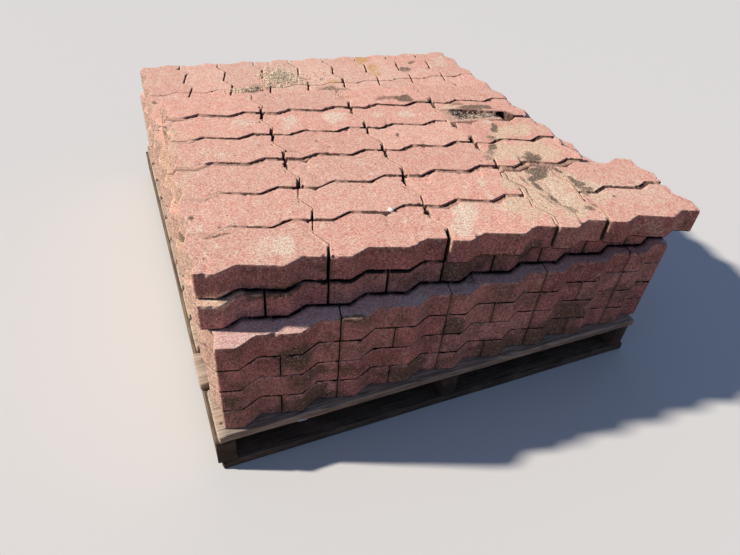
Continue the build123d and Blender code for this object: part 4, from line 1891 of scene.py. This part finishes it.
def weather_patches(studio: Studio) -> Tuple[Patch, ...]:
    """The patches of weathering that show on the blocks, and one olive patch of painted shadow on layer 3's
    ledge.

    Args:
        studio: The camera that looks at them, which sets how the patches on top lie.

    Returns:
        Patches in the frame, in metres.
    """
    b, t, g, o, v = Mark.BLEACH, Mark.TAN, Mark.GREY, Mark.ORANGE, Mark.OLIVE
    top, low, thick, ragged = BARE_TOP, SECOND_TOP, 0.012, {g: 0.45}
    # Half sizes are noted as they show in the photograph, in pixels, to where a patch has faded by half.
    reach = 1.18
    level: Dict[Tuple[Mark, float], Tuple[Tuple[float, ...], ...]] = {
        (t, top): (
            (0.311, -0.299, 34, 9, 1.0), (0.245, -0.272, 12, 9, 0.9), (0.347, -0.185, 24, 6, 0.9),
            (0.288, -0.206, 12, 4, 0.7), (0.183, -0.406, 11, 11, 1.0), (0.229, -0.377, 14, 7, 0.8),
            (0.236, -0.459, 26, 20, 1.0), (0.256, -0.534, 16, 9, 0.75), (0.320, -0.420, 12, 7, 0.9),
            (0.336, -0.469, 16, 7, 1.0), (0.339, -0.513, 16, 7, 0.6), (0.143, -0.491, 11, 8, 0.95),
            (0.155, -0.529, 12, 7, 0.65), (0.248, -0.023, 8, 5, 0.9), (-0.468, -0.045, 9, 20, 0.45),
            (-0.463, -0.207, 8, 24, 0.45), (0.272, -0.447, 12, 10, 1.2), (0.257, -0.507, 10, 8, 1.2),
            (0.258, -0.547, 9, 6, 1.0)),
        (b, top): (
            (0.021, -0.494, 12, 14, 1.0), (-0.011, -0.535, 12, 8, 0.8), (0.106, -0.484, 14, 6, 0.5),
            (0.120, -0.393, 6, 5, 0.75), (0.272, -0.447, 12, 10, 0.45), (0.257, -0.507, 10, 8, 0.45),
            (0.295, -0.124, 7, 3, 0.6), (0.454, -0.570, 10, 4, 0.4), (-0.343, -0.488, 14, 12, 0.95),
            (-0.369, -0.489, 28, 13, 0.5), (-0.310, -0.437, 3, 2, 0.7), (-0.259, -0.452, 3, 3, 0.8),
            (-0.103, -0.477, 5, 3, 0.6), (-0.452, -0.461, 3, 2.5, 0.7), (-0.472, -0.479, 3, 3, 0.6),
            (-0.425, -0.487, 5, 3, 0.5), (-0.194, -0.018, 9, 8, 0.7), (-0.078, -0.008, 12, 6, 0.9),
            (0.036, -0.021, 6, 2.5, 0.7), (0.110, -0.032, 12, 3, 0.75), (-0.298, 0.012, 12, 4, 0.7),
            (-0.409, -0.118, 6, 4, 0.5), (-0.437, -0.418, 8.2, 1.86, 1.0, -19.8)),
        (g, top): (
            (0.276, -0.380, 11, 6, 1.3), (0.254, -0.402, 8, 5, 1.3), (0.295, -0.326, 9, 5, 1.3),
            (0.298, -0.306, 6, 3, 0.87), (0.299, -0.161, 4, 4.5, 1.3), (0.259, -0.205, 6, 2, 0.87),
            (0.239, -0.250, 5, 6, 1.09), (0.201, -0.292, 5, 5, 0.72), (0.291, -0.545, 8, 5, 0.87),
            (0.326, -0.458, 6, 4, 1.09), (0.333, -0.482, 7, 2.5, 0.94), (0.370, -0.522, 2.2, 1.8, 1.3),
            (0.329, -0.033, 20, 2.2, 1.09), (0.278, -0.002, 7, 2, 0.72), (0.157, 0.066, 9, 4, 1.3),
            (0.110, 0.076, 14, 2.2, 0.8), (0.202, 0.035, 10, 1.8, 0.72), (0.039, -0.138, 1.8, 1.8, 1.3),
            (-0.161, -0.125, 1.6, 1.4, 1.3), (-0.476, 0.020, 2, 2, 1.3),
            (0.230, -0.441, 10.6, 2.53, 1.23, 38.7), (0.232, -0.494, 11.8, 2.2, 1.01, 37.4),
            (0.242, -0.536, 9.63, 2.03, 0.87, 23.5),
            (0.216, -0.410, 16.4, 1.53, 0.8, 42.3), (0.218, -0.486, 14.2, 1.45, 0.72, 35.7),
            (0.321, -0.397, 8.4, 1.86, 1.23, 23.1), (0.327, -0.433, 7.82, 1.87, 1.16, 39.6),
            (0.321, -0.483, 10.5, 1.7, 0.8, 47.1), (-0.446, -0.432, 15.8, 1.28, 1.3, -12.1)),
        (t, low): ((-0.087, 0.414, 20, 10, 0.75), (-0.245, 0.348, 9, 3.5, 0.95)),
        (g, low): (
            (-0.196, 0.346, 10, 3.5, 1.09), (-0.176, 0.288, 6, 3, 0.8), (0.026, 0.301, 14, 3.5, 0.87),
            (0.332, 0.419, 7, 2, 1.01), (0.387, 0.478, 4, 1.6, 1.01), (-0.475, 0.300, 2.6, 2, 1.3),
            (-0.487, 0.155, 4.5, 1.8, 1.3)),
        (o, low): ((0.218, 0.527, 8, 4, 0.95), (0.225, 0.448, 7, 5, 0.95), (0.222, 0.392, 4, 3, 0.9),
                   (0.054, 0.353, 7, 2.5, 0.85)),
        (b, low): ((0.481, 0.462, 8, 6, 0.6), (-0.309, 0.482, 8, 4, 0.35)),
    }
    found = []
    for (kind, z), rows in level.items():
        for x, y, across, down, strength, *turn in rows:
            axes = (*studio.seen_axes((x, y, z), reach * across, reach * down, *turn), (0, 0, thick))
            found.append(Patch(kind, (x, y, z), axes, strength, ragged.get(kind, Patch.ragged)))
    edges = (
        (g, (-0.479, -0.364, top), (0.0085, 0, 0), (0, 0.008, 0), 1.3),
        (g, (-0.490, -0.215, low), (0.008, 0, 0), (0, 0.013, 0), 1.3),
        (g, (-0.496, -0.334, low), (0.011, 0, 0), (0, 0.032, 0), 0.87),
        (t, (-0.480, -0.545, low), (0.048, 0, 0), (0, 0.050, 0), 1.0),
        (t, (-0.500, -0.360, low), (0.055, 0, 0), (-0.030, 0.220, 0), 0.62),
        (v, (-0.500, -0.360, low), (0.055, 0, 0), (-0.030, 0.220, 0), 0.34),
        (t, (-0.490, -0.080, low), (0.060, 0, 0), (-0.025, 0.260, 0), 0.62),
        (v, (-0.490, -0.080, low), (0.060, 0, 0), (-0.025, 0.260, 0), 0.34),
        # Painted shadow: this olive patch darkens a sunlit spot on layer 3's front ledge.
        (v, (-0.246, -0.595, 0.318), (0.026, -0.004, 0), (0, 0.010, 0), 1.3),
        (v, (-0.385, -0.560, low), (0.062, 0, 0), (0, 0.040, 0), 1.3),
        (b, (0.420, -0.520, top), (0.130, -0.030, 0), (-0.030, -0.070, 0), 0.42),
        (b, (0.000, 0.430, low), (0.550, -0.100, 0), (0, 0.200, 0), 0.42))
    found += [Patch(kind, spot, (a, b, (0, 0, thick)), strength, ragged.get(kind, Patch.ragged))
              for kind, spot, a, b, strength in edges]
    front: Dict[Mark, Tuple[Tuple[float, ...], ...]] = {
        v: ((-0.355, -0.600, 0.252, 0.026, 0.035, 0.9), (-0.332, -0.600, 0.121, 0.050, 0.028, 0.95),
            (-0.474, -0.600, 0.184, 0.017, 0.019, 0.7), (-0.300, -0.600, 0.185, 0.070, 0.016, 0.65),
            (-0.033, -0.565, 0.346, 0.023, 0.020, 1.15), (-0.114, -0.565, 0.345, 0.049, 0.021, 0.6),
            (-0.116, -0.600, 0.128, 0.055, 0.030, 0.9), (-0.024, -0.600, 0.226, 0.025, 0.027, 0.7),
            (0.107, -0.600, 0.121, 0.065, 0.043, 0.8), (0.224, -0.600, 0.127, 0.064, 0.050, 0.75),
            (0.281, -0.600, 0.173, 0.065, 0.032, 0.75), (0.321, -0.600, 0.106, 0.034, 0.035, 0.7),
            (0.005, -0.565, 0.349, 0.029, 0.029, 0.85), (0.070, -0.570, 0.353, 0.035, 0.032, 0.6),
            (0.136, -0.575, 0.359, 0.032, 0.033, 0.8), (0.420, -0.600, 0.200, 0.060, 0.030, 0.5)),
        b: ((0.425, -0.600, 0.400, 0.080, 0.026, 0.42),),
        g: ((-0.042, -0.565, 0.350, 0.017, 0.018, 1.6), (0.040, -0.565, 0.338, 0.016, 0.009, 1.6),
            (0.022, -0.565, 0.363, 0.020, 0.012, 1.4), (0.047, -0.565, 0.354, 0.007, 0.020, 0.9)),
    }
    found += [Patch(kind, (x, y, z), ((1.3 * across, 0, 0), (0, 0.045, 0), (0, 0, 1.25 * high)), strength)
              for kind, rows in front.items() for x, y, z, across, high, strength in rows]
    return tuple(found)


def settle(piece: Piece, slot: str, *nodes: str) -> Piece:
    """Makes a piece ride with the pallet and stand for its nodes.

    Args:
        piece: The piece.
        slot: Not used.
        nodes: Nodes that it stands for.

    Returns:
        The piece.
    """
    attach(piece, BODY)
    if nodes:
        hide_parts(*nodes)
    LOG.info("%s: %d triangles", piece.name, sum(len(face.vertices) - 2 for face in piece.data.polygons))
    return piece


def main() -> None:
    """Loads the frame, builds every piece over it and sets the stage."""
    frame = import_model()
    logging.basicConfig(level=logging.INFO, format="%(name)s %(message)s")
    scene = bpy.context.scene
    scene.view_settings.view_transform = "Standard"
    studio = Studio()
    studio.build()
    effects = Effects()
    weathered = ConcreteFinish("weathered_red_concrete").make(effects)
    sheltered = ConcreteFinish("sheltered_red_concrete", top=(0.73, 0.42, 0.37), top_warm=(0.75, 0.50, 0.43),
                               cloud_cover=0.10, side_grime=0.36).make(effects)
    sand = EarthFinish("joint_dust", (0.22, 0.120, 0.088), (0.070, 0.038, 0.028), (0.60, 0.40, 0.30),
                       grain=0.0015, dark_cover=0.45).make(effects)
    grit = EarthFinish("dark_grit", (0.70, 0.53, 0.41), (0.130, 0.095, 0.072), (0.76, 0.64, 0.52),
                       grain=0.0024, dark_cover=0.34).make(effects)

    stack = PaverStack(patches=weather_patches(studio))
    for course in Course:
        stack.read_places(course, frame["nodes"][course.value])
        finish = weathered if course in (Course.LOOSE, Course.SECOND) else sheltered
        settle(stack.build(course, finish), "paving_concrete", course.value)
    core = frame["nodes"]["hidden_inner_blocks"]
    core.data.materials.clear()
    core.data.materials.append(sheltered)

    settle(JointSand(stack.shape).build(stack, sand), "paving_concrete")
    dirt = LooseDirt(stack.shape)
    broken = next(p for p in stack.places[Course.LOOSE] if p.broken)
    settle(dirt.hollow_fill(broken, grit), "paving_concrete")
    crumbs = ShadedFinish("grit_crumbs", (0.055, 0.045, 0.036), (0.62, 0.50, 0.38)).make(effects)
    settle(dirt.crumbs(broken, crumbs), "paving_concrete")
    stone = ShadedFinish("pale_pebble", (0.42, 0.38, 0.36), (0.80, 0.77, 0.74), 420.0).make(effects)
    settle(dirt.pebble(stone), "paving_concrete")
    dry = ShadedFinish("dry_straw", (0.64, 0.50, 0.35), (0.93, 0.82, 0.64)).make(effects)
    settle(dirt.straw(dry), "paving_concrete")

    lumber = Lumber()
    deck = WoodFinish("weathered_deck_wood").make(effects)
    # Stringers and bottom boards: a darker copy of the deck wood, painted shade of the parts under the deck,
    # with near-black end grain that is partly damp wood and partly painted shade.
    shaded = WoodFinish("painted_shade_pallet_wood", (0.22, 0.150, 0.100), (0.155, 0.110, 0.077),
                        (0.085, 0.056, 0.038), dust=(0.26, 0.175, 0.125), end_grain=(0.042, 0.030, 0.023),
                        end_share=0.92).make(effects)
    for n, (node, along) in enumerate(lumber.names(), start=1):
        finish = deck if node.startswith("deck") else shaded
        piece = lumber.build(node, node.replace("_", "-") + "_wood", along, n, 0.0016, finish)
        settle(piece, "pallet_wood", node)
    pale = ShadedFinish("pale_sliver", (0.62, 0.56, 0.48), (0.90, 0.86, 0.80), 500.0).make(effects)
    settle(dirt.splinter(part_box("deck_board_1")[1].z, pale), "pallet_wood")
    settle(lumber.nails(RustFinish("rusty_iron").make(effects)), "pallet_wood")


if __name__ == "__main__":
    main()
